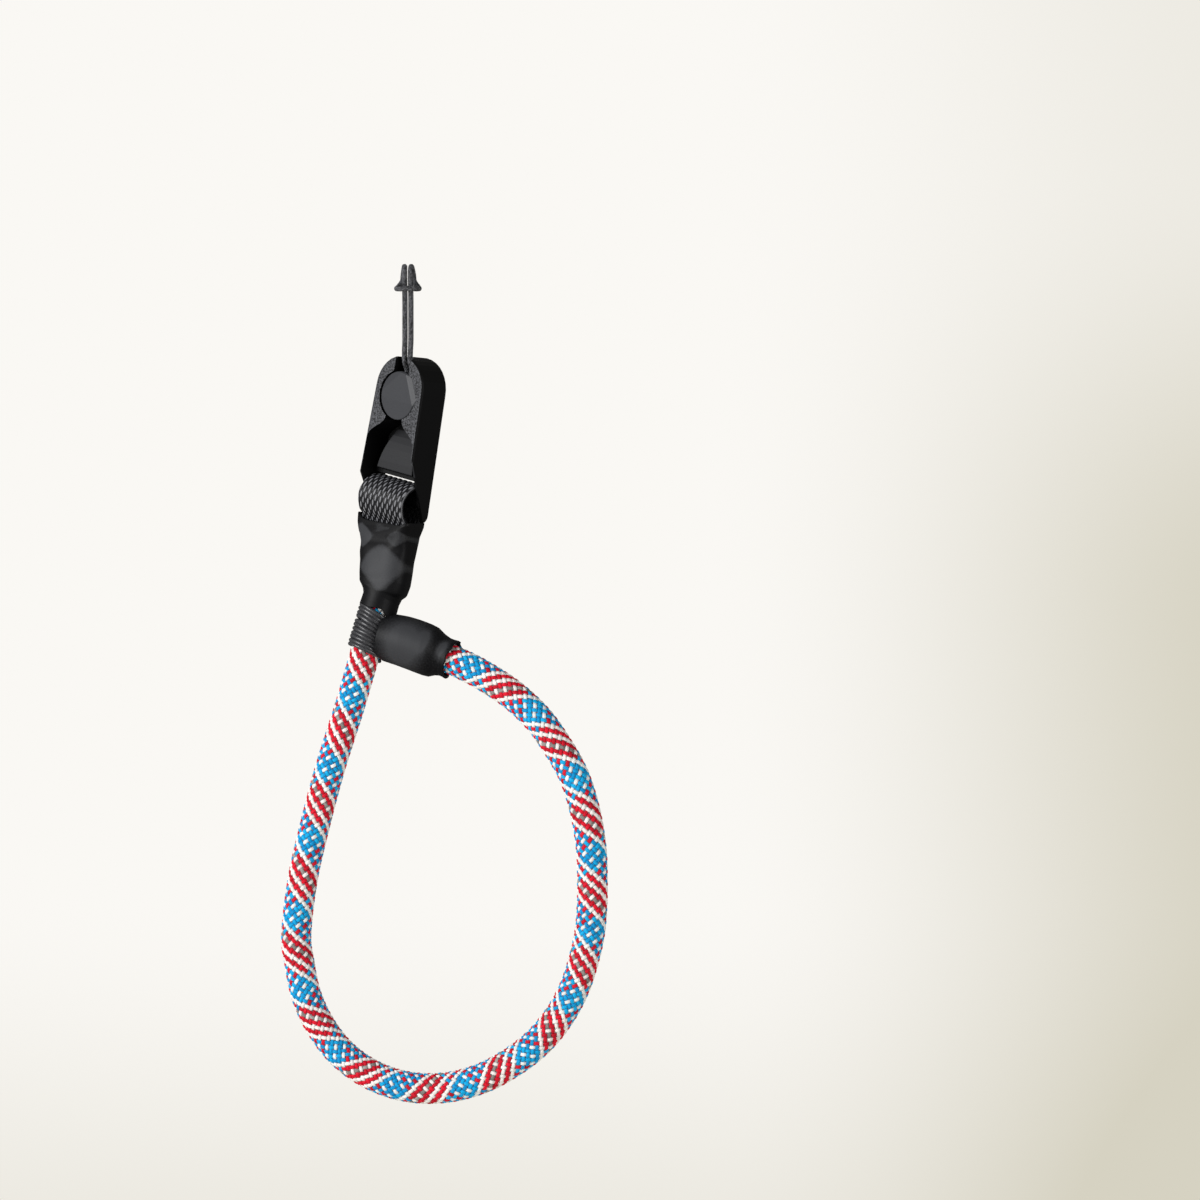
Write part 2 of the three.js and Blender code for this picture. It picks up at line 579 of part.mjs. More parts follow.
// Side cuff, a rubber sleeve over the rope's end, which butts against the whipping
function sideCuff() {
  const mouth = ropeAt(ropeLength - SIDE_CUFF_COVER);
  const inside = ropeAt(ropeLength - SIDE_CUFF_COVER / 2);
  const end = ropeAt(ropeLength);
  const stop = whippingMiddle.clone().add(end.clone().sub(whippingMiddle).setLength(SIDE_CUFF_REACH));
  const curve = smoothCurve([mouth, inside, end, stop]);
  const ring = (share, inset) => {
    const along = curve.getTangentAt(share);
    const across = Z.clone().projectOnPlane(along).normalize();
    const back = new THREE.Vector3().crossVectors(across, along);
    return Array.from({ length: SIDE_CUFF_SIDES }, (unused, side) => {
      const angle = (side / SIDE_CUFF_SIDES) * 2 * Math.PI;
      const shoulder = share - SIDE_CUFF_LOPSIDE * Math.cos(angle) * Math.sin(Math.PI * share);
      const swell = readTable(SIDE_CUFF_SECTIONS, "swell", shoulder);
      const radius = mix(neckRadius, SIDE_CUFF_DIAMETER / 2, swell) - inset;
      return curve.getPointAt(share)
        .addScaledVector(across, Math.cos(angle) * radius)
        .addScaledVector(back, Math.sin(angle) * radius);
    });
  };
  const shares = Array.from({ length: SIDE_CUFF_RINGS }, (unused, row) => row / (SIDE_CUFF_RINGS - 1));
  const outer = shares.map((share) => ring(share, 0));
  const inner = shares.map((share) => ring(share, CUFF_WALL)).reverse();
  const clear = whippingRadius + GAP;
  const saddle = new THREE.CylinderGeometry(clear, clear, 4 * whippingLength, 48);
  saddle.rotateX(Math.PI / 2).applyMatrix4(whippingPlace);
  return toGeometry(toSolid(ringWall([...outer, ...inner])).subtract(toSolid(saddle)));
}

const finishes = {
  braid: { color: 0x24242a, roughness: 0.8, metalness: 0 },
  disc: { color: 0x4a4b50, roughness: 0.45, metalness: 0 },
  housing: { color: 0x26272b, roughness: 0.5, metalness: 0 },
  webbing: { color: 0x1f2024, roughness: 0.75, metalness: 0 },
  rubber: { color: 0x1c1c1e, roughness: 0.6, metalness: 0 },
  waxedCord: { color: 0x1a1a1c, roughness: 0.4, metalness: 0 },
  ropeSheath: { color: 0xb8c4d6, roughness: 0.8, metalness: 0 },
};

const strap = new THREE.Group();

function addPiece(name, geometry, finish) {
  const mesh = new THREE.Mesh(geometry, new THREE.MeshStandardMaterial(finish));
  mesh.name = name;
  strap.add(mesh);
}

addPiece("anchor_cord", anchorCord(), finishes.braid);
addPiece("anchor_disc", anchorDisc(), finishes.disc);
addPiece("link_housing", linkHousing(), finishes.housing);
addPiece("webbing_loop", webbingLoop(), finishes.webbing);
addPiece("upper_cuff", upperCuff(), finishes.rubber);
addPiece("whipping", whipping(), finishes.waxedCord);
addPiece("side_cuff", sideCuff(), finishes.rubber);
addPiece("rope_loop", tube(ropeCurve, ROPE_DIAMETER, ROPE_SIDES, ROPE_STEPS), finishes.ropeSheath);

export default strap;
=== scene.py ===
"""Wrist strap, dressed for the look of the photograph.

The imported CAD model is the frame. The disc and the link keep their CAD shapes and get moulded finishes.
The rope, the anchor cord, the webbing, both rubber cuffs and the whipping are built here in their places.
Lengths are in millimetres until a mesh is made, and +Z is up. The camera looks along +Y.
"""

from __future__ import annotations

import json
import logging
import math
from collections.abc import Callable, Sequence
from dataclasses import dataclass, field
from enum import Enum

import bpy
import numpy as np
from mathutils import Matrix, Vector, noise

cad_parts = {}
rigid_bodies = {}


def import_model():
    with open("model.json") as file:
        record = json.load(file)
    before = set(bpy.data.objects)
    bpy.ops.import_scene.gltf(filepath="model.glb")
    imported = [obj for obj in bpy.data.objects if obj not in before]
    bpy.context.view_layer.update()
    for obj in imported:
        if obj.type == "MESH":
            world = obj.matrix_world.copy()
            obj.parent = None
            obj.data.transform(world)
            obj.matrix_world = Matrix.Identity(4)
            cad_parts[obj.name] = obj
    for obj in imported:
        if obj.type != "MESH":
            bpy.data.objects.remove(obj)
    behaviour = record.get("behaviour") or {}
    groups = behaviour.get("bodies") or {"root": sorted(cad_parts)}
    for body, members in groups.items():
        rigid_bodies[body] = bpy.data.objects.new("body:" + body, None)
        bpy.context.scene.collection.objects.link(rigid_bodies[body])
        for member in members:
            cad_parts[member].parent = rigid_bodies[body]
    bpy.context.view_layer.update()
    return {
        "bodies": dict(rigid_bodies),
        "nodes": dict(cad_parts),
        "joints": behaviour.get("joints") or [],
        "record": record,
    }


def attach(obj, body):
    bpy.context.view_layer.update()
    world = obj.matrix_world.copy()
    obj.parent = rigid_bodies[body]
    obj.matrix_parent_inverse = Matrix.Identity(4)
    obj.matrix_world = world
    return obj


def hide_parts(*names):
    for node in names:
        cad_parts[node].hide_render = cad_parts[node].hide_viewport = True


LOG = logging.getLogger("wrist_strap")
MM = 0.001

# Link frame, as the CAD source has it: x across the link, -y out of its face, z up, origin at its top
LINK_TURN = math.radians(-42)
LINK_LEAN_RIGHT = math.radians(10)
LINK_LEAN_FRONT = math.radians(8)
HANG_LENGTH = 25.0
LINK_THICKNESS = 10.8
NOTCH_Y = -3.7
RIM_IN_LINK = (0.0, 0.8, -50.3)

# Route of the rope from inside the upper cuff to inside the side cuff: right, back and up from the
# middle of the upper cuff's rim
ROPE_ROUTE = (
    (-1.5, -2.9, -17.7), (-2.6, -3.3, -23.8), (-3.7, -3.6, -27.6), (-4.9, -3.9, -31.4),
    (-6.1, -4.2, -35.7), (-7.5, -4.4, -40.5), (-9.6, -4.6, -47.9), (-12.8, -4.8, -58.8),
    (-16.5, -5.1, -70.3), (-19.3, -5.3, -79.7), (-23.3, -5.8, -95.3), (-26.5, -6.4, -109.9),
    (-28.3, -7.5, -126.2), (-27.2, -8.4, -135.2), (-25.0, -9.5, -144.8), (-20.4, -11.0, -154.1),
    (-13.5, -12.7, -162.3), (-4.3, -14.8, -168.2), (6.3, -17.1, -171.2), (17.4, -19.5, -171.1),
    (28.0, -21.7, -168.2), (37.5, -23.6, -163.0), (45.5, -25.1, -156.6), (51.8, -26.3, -148.8),
    (56.3, -27.1, -140.4), (59.1, -27.5, -131.9), (60.9, -27.7, -123.8), (61.6, -27.7, -115.8),
    (61.7, -27.5, -108.1), (61.5, -27.1, -100.4), (60.5, -26.5, -92.6), (58.7, -25.6, -84.6),
    (55.8, -24.4, -76.4), (51.2, -22.7, -68.4), (45.4, -20.5, -60.4), (37.6, -17.7, -53.2),
    (28.1, -14.3, -47.1), (20.1, -11.5, -43.2), (12.1, -8.9, -40.0), (5.0, -6.9, -37.5),
)

# Sizes that more than one piece reads, as the CAD source has them; FIT is the room between two pieces
ROPE_DIAMETER = 9.4
CUFF_WALL = 0.8
FIT = 0.3
NECK_RADIUS = ROPE_DIAMETER / 2 + FIT + CUFF_WALL
WHIPPING_START = 11.2
WHIPPING_TURNS = 11
WHIPPING_CORD = 1.2
WHIPPING_SLANT = math.radians(14)
WHIPPING_RADIUS = ROPE_DIAMETER / 2 + WHIPPING_CORD


def link_matrix() -> Matrix:
    """Places the link frame in the shared frame.

    Returns:
        The place, in millimetres.
    """
    turn = (
        Matrix.Rotation(LINK_LEAN_FRONT, 4, "X")
        @ Matrix.Rotation(LINK_LEAN_RIGHT, 4, "Y")
        @ Matrix.Rotation(LINK_TURN, 4, "Z")
    )
    origin = Vector((0, 0, -HANG_LENGTH)) - turn @ Vector((0, NOTCH_Y, 0))
    return Matrix.Translation(origin) @ turn


LINK = link_matrix()
RIM_MIDDLE = LINK @ Vector(RIM_IN_LINK)


def in_link(x: float, y: float, z: float) -> Vector:
    """Returns a point of the link frame in the shared frame."""
    return LINK @ Vector((x, y, z))


def smooth_step(values: np.ndarray, low: float, high: float) -> np.ndarray:
    """Returns 0 below low, 1 above high and a smooth rise between them."""
    share = np.clip((values - low) / (high - low), 0, 1)
    return share * share * (3 - 2 * share)


def degrees_apart(bearing: np.ndarray, around: float) -> np.ndarray:
    """Returns how far bearings lie from one, from -180 to 180 degrees."""
    return (bearing - around + 540) % 360 - 180


def bell(*shares: np.ndarray) -> np.ndarray:
    """Returns a soft bump: 1 where all the shares are 0, and next to nothing from 2 on."""
    return np.exp(-sum(share**2 for share in shares))


def rings_round(
    middle: np.ndarray, one: np.ndarray, other: np.ndarray, on_one: np.ndarray, on_other: np.ndarray
) -> np.ndarray:
    """Returns rings of points round a line.

    Args:
        middle: The line's places, one for each ring.
        one: A unit vector across the line at each place.
        other: The unit vector at right angles to it.
        on_one: How far each point lies along the first vector, ring by ring.
        on_other: How far each point lies along the second.

    Returns:
        The points, ring by ring.
    """
    rings = middle[:, None, :] + one[:, None, :] * on_one[..., None]
    return rings + other[:, None, :] * on_other[..., None]


class Route:
    """A smooth line through points, read by the distance along it."""

    SAMPLES_PER_SPAN = 48
    # A direction is read over a step of this size, or a smaller share of a short line
    READING_STEP = 0.6
    LEAST_STEPS = 50

    def __init__(self, points: Sequence[Vector]) -> None:
        """Samples the line.

        Args:
            points: What the line passes through, in millimetres.
        """
        given = np.array([tuple(point) for point in points], float)
        chain = np.vstack([2 * given[:1] - given[1:2], given, 2 * given[-1:] - given[-2:-1]])
        share = np.linspace(0, 1, self.SAMPLES_PER_SPAN, endpoint=False)[:, None]
        spans = []
        for before, start, end, after in zip(chain, chain[1:], chain[2:], chain[3:]):
            leave, arrive = (end - before) / 2, (after - start) / 2
            spans.append(
                (2 * share**3 - 3 * share**2 + 1) * start
                + (share**3 - 2 * share**2 + share) * leave
                + (3 * share**2 - 2 * share**3) * end
                + (share**3 - share**2) * arrive
            )
        self.places = np.vstack([*spans, given[-1:]])
        steps = np.linalg.norm(np.diff(self.places, axis=0), axis=1)
        self.distances = np.concatenate([[0.0], np.cumsum(steps)])
        self.length = float(self.distances[-1])

    def at(self, distance: np.ndarray | float) -> np.ndarray:
        """Returns the places at these distances along the line."""
        axes = [np.interp(distance, self.distances, self.places[:, axis]) for axis in range(3)]
        return np.stack(axes, axis=-1)

    def along(self, distance: np.ndarray | float) -> np.ndarray:
        """Reads the line's directions.

        Args:
            distance: How far along the line to read, in millimetres.

        Returns:
            A unit vector for each distance.
        """
        step = min(self.READING_STEP, self.length / self.LEAST_STEPS)
        low = np.clip(np.asarray(distance) - step, 0, self.length - step)
        way = self.at(low + 2 * step) - self.at(low)
        return way / np.linalg.norm(way, axis=-1, keepdims=True)


def project_off(vector: np.ndarray, along: np.ndarray) -> np.ndarray:
    """Returns unit vectors of what is left of vector across each direction of along."""
    left = vector - (along * vector).sum(-1, keepdims=True) * along
    return left / np.linalg.norm(left, axis=-1, keepdims=True)


ROPE = Route([RIM_MIDDLE + Vector(offset) for offset in ROPE_ROUTE])


def linear(code: str) -> tuple[float, float, float, float]:
    """Turns a colour code into a linear colour.

    Args:
        code: An sRGB hex colour such as "#aabbcc".

    Returns:
        Linear RGBA.
    """
    parts = [int(code[at : at + 2], 16) / 255 for at in (1, 3, 5)]
    turned = [part / 12.92 if part <= 0.04045 else ((part + 0.055) / 1.055) ** 2.4 for part in parts]
    return (*turned, 1.0)


def add_node(
    tree: bpy.types.NodeTree,
    kind: str,
    settings: dict[str, object] | None = None,
    inputs: dict[str | int, object] | None = None,
) -> bpy.types.Node:
    """Adds one shader node.

    Args:
        tree: The material's node tree.
        kind: The node's type.
        settings: Values of the node's own properties.
        inputs: A value, or another node's output, for each named or numbered input.

    Returns:
        The new node.
    """
    node = tree.nodes.new(kind)
    for name, value in (settings or {}).items():
        setattr(node, name, value)
    for name, value in (inputs or {}).items():
        if isinstance(value, bpy.types.NodeSocket):
            tree.links.new(value, node.inputs[name])
        else:
            node.inputs[name].default_value = value
    return node


@dataclass(frozen=True)
class Finish:
    """A moulded or spun surface: two tones mixed by a fine grain, which also roughens it.

    The grain's size and its relief are in millimetres, and its contrast is the share of the noise over
    which one tone gives way to the other.
    """

    name: str
    colour: str
    shade: str
    roughness: float
    ior: float
    grain: float
    relief: float
    coat: float = 0.0
    specular: float = 0.5
    contrast: float = 0.15

    def grain_nodes(self, tree: bpy.types.NodeTree) -> tuple[bpy.types.NodeSocket, bpy.types.NodeSocket]:
        """Adds the nodes of the fine grain.

        Args:
            tree: The material's node tree.

        Returns:
            The mask that mixes the two tones, and the height of the relief.
        """
        place = add_node(tree, "ShaderNodeTexCoord").outputs["Object"]
        fine = {"Vector": place, "Scale": 1 / (self.grain * MM), "Detail": 3.0, "Roughness": 0.6}
        grain = add_node(tree, "ShaderNodeTexNoise", inputs=fine).outputs["Fac"]
        return grain, grain

    def material(self) -> bpy.types.Material:
        """Makes the material.

        Returns:
            The material, new each time.
        """
        made = bpy.data.materials.new(self.name)
        made.use_nodes = True
        tree = made.node_tree
        tree.nodes.clear()
        mask, height = self.grain_nodes(tree)
        spread = {"From Min": 0.5 - self.contrast, "From Max": 0.5 + self.contrast}
        ramp = add_node(tree, "ShaderNodeMapRange", inputs={"Value": mask, **spread})
        tones = {0: ramp.outputs["Result"], 6: linear(self.shade), 7: linear(self.colour)}
        tone = add_node(tree, "ShaderNodeMix", {"data_type": "RGBA"}, tones)
        bump = add_node(tree, "ShaderNodeBump", inputs={"Height": height, "Distance": self.relief * MM})
        surface = add_node(
            tree,
            "ShaderNodeBsdfPrincipled",
            inputs={
                "Base Color": tone.outputs[2],
                "Roughness": self.roughness,
                "IOR": self.ior,
                "Specular IOR Level": self.specular,
                "Coat Weight": self.coat,
                "Normal": bump.outputs["Normal"],
            },
        )
        add_node(tree, "ShaderNodeOutputMaterial", inputs={"Surface": surface.outputs["BSDF"]})
        return made


@dataclass(frozen=True)
class SparkTexturedNylon(Finish):
    """Glass-filled nylon: spark-textured front, smooth ramp behind it, and polished sides painted darker as
    shade.

    Depths are counted from the face. The sill below the ramp gets painted shade, from a drop counted from
    the top of the link.
    """

    # Which way a surface faces: off the front its tone falls to near black, a painted shade
    facing: tuple[float, float] = (0.55, 0.95)
    ramp_depth: float = 1.2
    face_depth: float = 0.4
    ramp_tone: float = 0.42
    # Painted shade on the sill below the ramp: where it starts below the top of the link and how softly it
    # sets in
    sill_shade_drop: float = 35.3
    sill_shade_blur: float = 0.6

    def grain_nodes(self, tree: bpy.types.NodeTree) -> tuple[bpy.types.NodeSocket, bpy.types.NodeSocket]:
        """Adds the nodes that tell the front from the ramp and the sides.

        Args:
            tree: The material's node tree.

        Returns:
            The mask, with painted shade off the front and on the sill, even on the ramp, and the height, on
            the front alone.
        """
        _, grain = super().grain_nodes(tree)
        turn = LINK.to_3x3()
        front, down = turn @ Vector((0, -1, 0)), turn @ Vector((0, 0, -1))
        face_at = front.dot(LINK.translation) + LINK_THICKNESS / 2
        sill_at = down.dot(LINK.translation) + self.sill_shade_drop
        seen = add_node(tree, "ShaderNodeNewGeometry")
        place = seen.outputs["Position"]
        # Painted shade on every surface that turns away from the front
        facing = self.reading(tree, seen.outputs["Normal"], front, *self.facing)
        face_span = ((face_at - self.ramp_depth) * MM, (face_at - self.face_depth) * MM)
        on_face = self.reading(tree, place, front, *face_span)
        # Painted shade on the sill below the ramp
        out_of_sill_shade = self.reading(tree, place, down, (sill_at + self.sill_shade_blur) * MM, sill_at * MM)
        tones = {0: on_face, 2: self.ramp_tone, 3: grain}
        tone = add_node(tree, "ShaderNodeMix", {"data_type": "FLOAT"}, tones).outputs[0]
        times = {"operation": "MULTIPLY"}
        lit = add_node(tree, "ShaderNodeMath", times, {0: facing, 1: out_of_sill_shade}).outputs[0]
        mask = add_node(tree, "ShaderNodeMath", times, {0: tone, 1: lit}).outputs[0]
        rough = add_node(tree, "ShaderNodeMath", times, {0: facing, 1: on_face}).outputs[0]
        height = add_node(tree, "ShaderNodeMath", times, {0: grain, 1: rough}).outputs[0]
        return mask, height

    @staticmethod
    def reading(
        tree: bpy.types.NodeTree, vector: bpy.types.NodeSocket, way: Vector, low: float, high: float
    ) -> bpy.types.NodeSocket:
        """Reads how far a vector reaches along a way.

        Args:
            tree: The material's node tree.
            vector: The vector to read.
            way: The unit vector to read it along.
            low: The reach that gives 0.
            high: The reach that gives 1.

        Returns:
            The reading, with a smooth rise from 0 to 1.
        """
        along = {0: vector, 1: tuple(way)}
        reach = add_node(tree, "ShaderNodeVectorMath", {"operation": "DOT_PRODUCT"}, along)
        span = {"Value": reach.outputs["Value"], "From Min": low, "From Max": high}
        smooth = {"interpolation_type": "SMOOTHSTEP"}
        return add_node(tree, "ShaderNodeMapRange", smooth, span).outputs["Result"]


@dataclass(frozen=True)
class SpunYarn(Finish):
    """Filament yarn that lies as ends side by side in each float, with the filaments along it.

    The filaments are drawn coarser than real ones, which are too fine to show.
    """

    ends: int = 2
    filaments: tuple[float, float, float] = (22.0, 2.2, 1.0)
    twist: float = 0.12
    filament_height: float = 0.5
    own_tone: float = 0.3

    def grain_nodes(self, tree: bpy.types.NodeTree) -> tuple[bpy.types.NodeSocket, bpy.types.NodeSocket]:
        """Adds the nodes of the yarn's ends and filaments.

        Args:
            tree: The material's node tree.

        Returns:
            The mask of filaments, each float a little off the next, and the height of the ends.
        """
        place = add_node(tree, "ShaderNodeUVMap", {"uv_map": "UVMap"}).outputs["UV"]
        parts = add_node(tree, "ShaderNodeSeparateXYZ", inputs={0: place})
        across = {0: parts.outputs["X"], 1: math.pi * self.ends}
        cycle = add_node(tree, "ShaderNodeMath", {"operation": "MULTIPLY"}, across)
        wave = add_node(tree, "ShaderNodeMath", {"operation": "SINE"}, {0: cycle.outputs[0]})
        crown = add_node(tree, "ShaderNodeMath", {"operation": "ABSOLUTE"}, {0: wave.outputs[0]})
        drawn_out = {"Vector": place, "Scale": self.filaments, "Rotation": (0, 0, self.twist)}
        stretched = add_node(tree, "ShaderNodeMapping", inputs=drawn_out)
        fine = {"Vector": stretched.outputs["Vector"], "Scale": 1.0, "Detail": 2.0}
        grain = add_node(tree, "ShaderNodeTexNoise", inputs=fine).outputs["Fac"]
        raised = {0: grain, 1: self.filament_height, 2: crown.outputs[0]}
        height = add_node(tree, "ShaderNodeMath", {"operation": "MULTIPLY_ADD"}, raised)
        own = add_node(tree, "ShaderNodeAttribute", {"attribute_name": "crown"}).outputs["Fac"]
        toned = {0: own, 1: self.own_tone, 2: grain}
        tone = add_node(tree, "ShaderNodeMath", {"operation": "MULTIPLY_ADD"}, toned)
        centred = {0: tone.outputs[0], 1: self.own_tone / 2}
        mask = add_node(tree, "ShaderNodeMath", {"operation": "SUBTRACT"}, centred)
        return mask.outputs[0], height.outputs[0]


@dataclass(frozen=True)
class PaintedLightFinish(Finish):
    """A matt, faintly mottled surface, with painted shade in its folds and painted light on its crowns."""

    mottle: float = 0.25

    def grain_nodes(self, tree: bpy.types.NodeTree) -> tuple[bpy.types.NodeSocket, bpy.types.NodeSocket]:
        """Adds the nodes of the painted light on the crowns and the painted shade in the folds.

        Args:
            tree: The material's node tree.

        Returns:
            The mask of painted light and shade with a faint mottle, and the height of the fine grain.
        """
        grain, height = super().grain_nodes(tree)
        # Painted light and shade, stored on the mesh
        lit_and_shaded = add_node(tree, "ShaderNodeAttribute", {"attribute_name": "crown"}).outputs["Fac"]
        mottled = {0: grain, 1: self.mottle, 2: -self.mottle / 2}
        soft = add_node(tree, "ShaderNodeMath", {"operation": "MULTIPLY_ADD"}, mottled)
        mask = add_node(tree, "ShaderNodeMath", {"operation": "ADD"}, {0: lit_and_shaded, 1: soft.outputs[0]})
        return mask.outputs[0], height


class Yarn(Enum):
    """The yarns of the rope's sheath, by their place in its material slots."""

    WHITE = 0
    RED = 1
    GREY = 2
    BLUE = 3


# Dyed polyester filament, woven: soft gloss along the filaments, each float a little off the next
ROPE_YARNS = {
    Yarn.WHITE: SpunYarn("polyester_yarn_white", "#fdfcfa", "#e6e3e0", 0.65, 1.5, 0.1, 0.03, specular=0.3),
    Yarn.RED: SpunYarn("polyester_yarn_red", "#e81230", "#b80c24", 0.6, 1.5, 0.1, 0.06, specular=0.2),
    Yarn.GREY: SpunYarn("polyester_yarn_grey", "#a9a5a2", "#77726f", 0.65, 1.5, 0.1, 0.06, specular=0.2),
    Yarn.BLUE: SpunYarn("polyester_yarn_blue", "#10b6ee", "#0388c8", 0.6, 1.5, 0.1, 0.06, specular=0.2),
}
# Core of the rope, toned a soft grey as painted shade between the floats
ROPE_CORE = Finish("polyamide_rope_core", "#787b82", "#54585f", 0.9, 1.5, 0.4, 0.02)
# Braided high-strength cord, dyed black: tight bright glints on each float
CORD_YARN = SpunYarn("braided_cord_black", "#6a6b70", "#161618", 0.42, 1.53, 0.1, 0.04, specular=0.3)
CORD_CORE = Finish("braided_cord_core", "#161618", "#0c0c0e", 0.9, 1.5, 0.3, 0.01)
# Moulded glass-filled nylon: grained front that scatters light, polished sides painted near black as shade
LINK_NYLON = SparkTexturedNylon(
    "moulded_nylon_link", "#5c5d62", "#040405", 0.5, 1.53, 0.46, 0.13, specular=0.2, contrast=0.13
)
# Moulded nylon, satin: an even, faintly glossy face without the link's coarse grain
DISC_NYLON = Finish("moulded_nylon_disc", "#404145", "#37383c", 0.42, 1.53, 0.2, 0.006, specular=0.2)
# Woven nylon yarn, glossy: painted highlights on the crowns of its floats and painted shade between them
WEBBING_YARN = PaintedLightFinish(
    "woven_nylon_webbing", "#828388", "#17171a", 0.45, 1.53, 0.1, 0.01, specular=0.3
)
# Heat-shrunk rubber: matt, greyer with painted light on its facets and darker with painted shade in its
# folds
CUFF_RUBBER = PaintedLightFinish("heat_shrunk_rubber", "#3a3b3e", "#0e0e10", 0.5, 1.5, 0.5, 0.03, specular=0.15)
# Waxed polyester cord, wound: thin glints under the wax
WAXED_CORD = Finish("waxed_polyester_cord", "#4a4a4e", "#1a1a1c", 0.42, 1.5, 0.3, 0.03, coat=0.3)


class MeshSketch:
    """Corners and faces of one piece, gathered in millimetres before its mesh is made."""

    def __init__(self) -> None:
        """Starts with nothing."""
        self.points: list[np.ndarray] = []
        self.faces: list[tuple[int, ...]] = []
        self.finish_of_face: list[int] = []
        self.places_on_cloth: list[np.ndarray] = []
        self.crown: list[np.ndarray] = []
        self.count = 0

    def add_points(
        self,
        points: np.ndarray,
        cloth: np.ndarray | None = None,
        crown: np.ndarray | None = None,
    ) -> int:
        """Adds corners.

        Args:
            points: Their places, one row each.
            cloth: Where each lies on its yarn or cloth, across and along, from 0 to 1.
            crown: A tone for each, from 0 to 1: painted light and shade on the webbing and the cuffs, and a
                tone of its own on each float of a braid.

        Returns:
            The number of the first of them.
        """
        first = self.count
        rows = points.reshape(-1, 3)
        self.points.append(rows)
        self.places_on_cloth.append(np.zeros((len(rows), 2)) if cloth is None else cloth.reshape(-1, 2))
        self.crown.append(np.ones(len(rows)) if crown is None else crown.reshape(-1))
        self.count += len(rows)
        return first

    def add_faces(self, faces: Sequence[tuple[int, ...]], finish: int = 0) -> None:
        """Adds faces, by the numbers of their corners, in one of the piece's finishes."""
        self.faces.extend(faces)
        self.finish_of_face.extend([finish] * len(faces))

    def add_rings(
        self,
        rings: np.ndarray,
        closed: bool,
        crown: np.ndarray | None = None,
        finish: int = 0,
    ) -> None:
        """Adds a wall through rings of points.

        Args:
            rings: Their places, ring by ring.
            closed: Whether the last ring meets the first. Else both ends get a flat cap.
            crown: As in add_points.
            finish: The number of the wall's finish.
        """
        rows, sides = rings.shape[:2]
        first = self.add_points(rings, crown=crown)
        faces: list[tuple[int, ...]] = []
        for row in range(rows if closed else rows - 1):
            here, there = first + row * sides, first + (row + 1) % rows * sides
            for side in range(sides):
                after = (side + 1) % sides
                faces.append((here + side, here + after, there + after, there + side))
        if not closed:
            last = first + (rows - 1) * sides
            faces.append(tuple(first + side for side in reversed(range(sides))))
            faces.append(tuple(last + side for side in range(sides)))
        self.add_faces(faces, finish)

    def make(self, name: str, finishes: Sequence[Finish], node: str) -> bpy.types.Object:
        """Makes the piece.

        Args:
            name: The piece's name.
            finishes: Its finishes, in the order that its faces number them.
            node: The CAD node that it stands for.

        Returns:
            The piece, riding on the one body.
        """
        mesh = bpy.data.meshes.new(name)
        places = np.vstack(self.points) * MM
        mesh.from_pydata(places.tolist(), [], self.faces)
        for finish in finishes:
            mesh.materials.append(finish.material())
        mesh.polygons.foreach_set("material_index", self.finish_of_face)
        mesh.polygons.foreach_set("use_smooth", [True] * len(self.faces))
        corners = np.zeros(len(mesh.loops), np.int32)
        mesh.loops.foreach_get("vertex_index", corners)
        layer = mesh.uv_layers.new(name="UVMap")
        layer.data.foreach_set("uv", np.vstack(self.places_on_cloth)[corners].astype(np.float32).ravel())
        crown = mesh.attributes.new("crown", "FLOAT", "POINT")
        crown.data.foreach_set("value", np.concatenate(self.crown).astype(np.float32))
        mesh.validate()
        mesh.update()
        piece = bpy.data.objects.new(name, mesh)
        bpy.context.scene.collection.objects.link(piece)
        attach(piece, "root")
        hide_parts(node)
        LOG.info("%s: %d corners, %d faces", name, len(mesh.vertices), len(mesh.polygons))
        return piece


def frames_along(route: Route, distance: np.ndarray) -> tuple[np.ndarray, np.ndarray, np.ndarray]:
    """Reads a route's directions, with its front toward -Y.

    Args:
        route: The route.
        distance: How far along it to read.

    Returns:
        The direction of the route, the way to the front and the way to the outer side.
    """
    along = route.along(distance)
    front = project_off(np.array([0.0, -1.0, 0.0]), along)
    return along, front, np.cross(along, front)


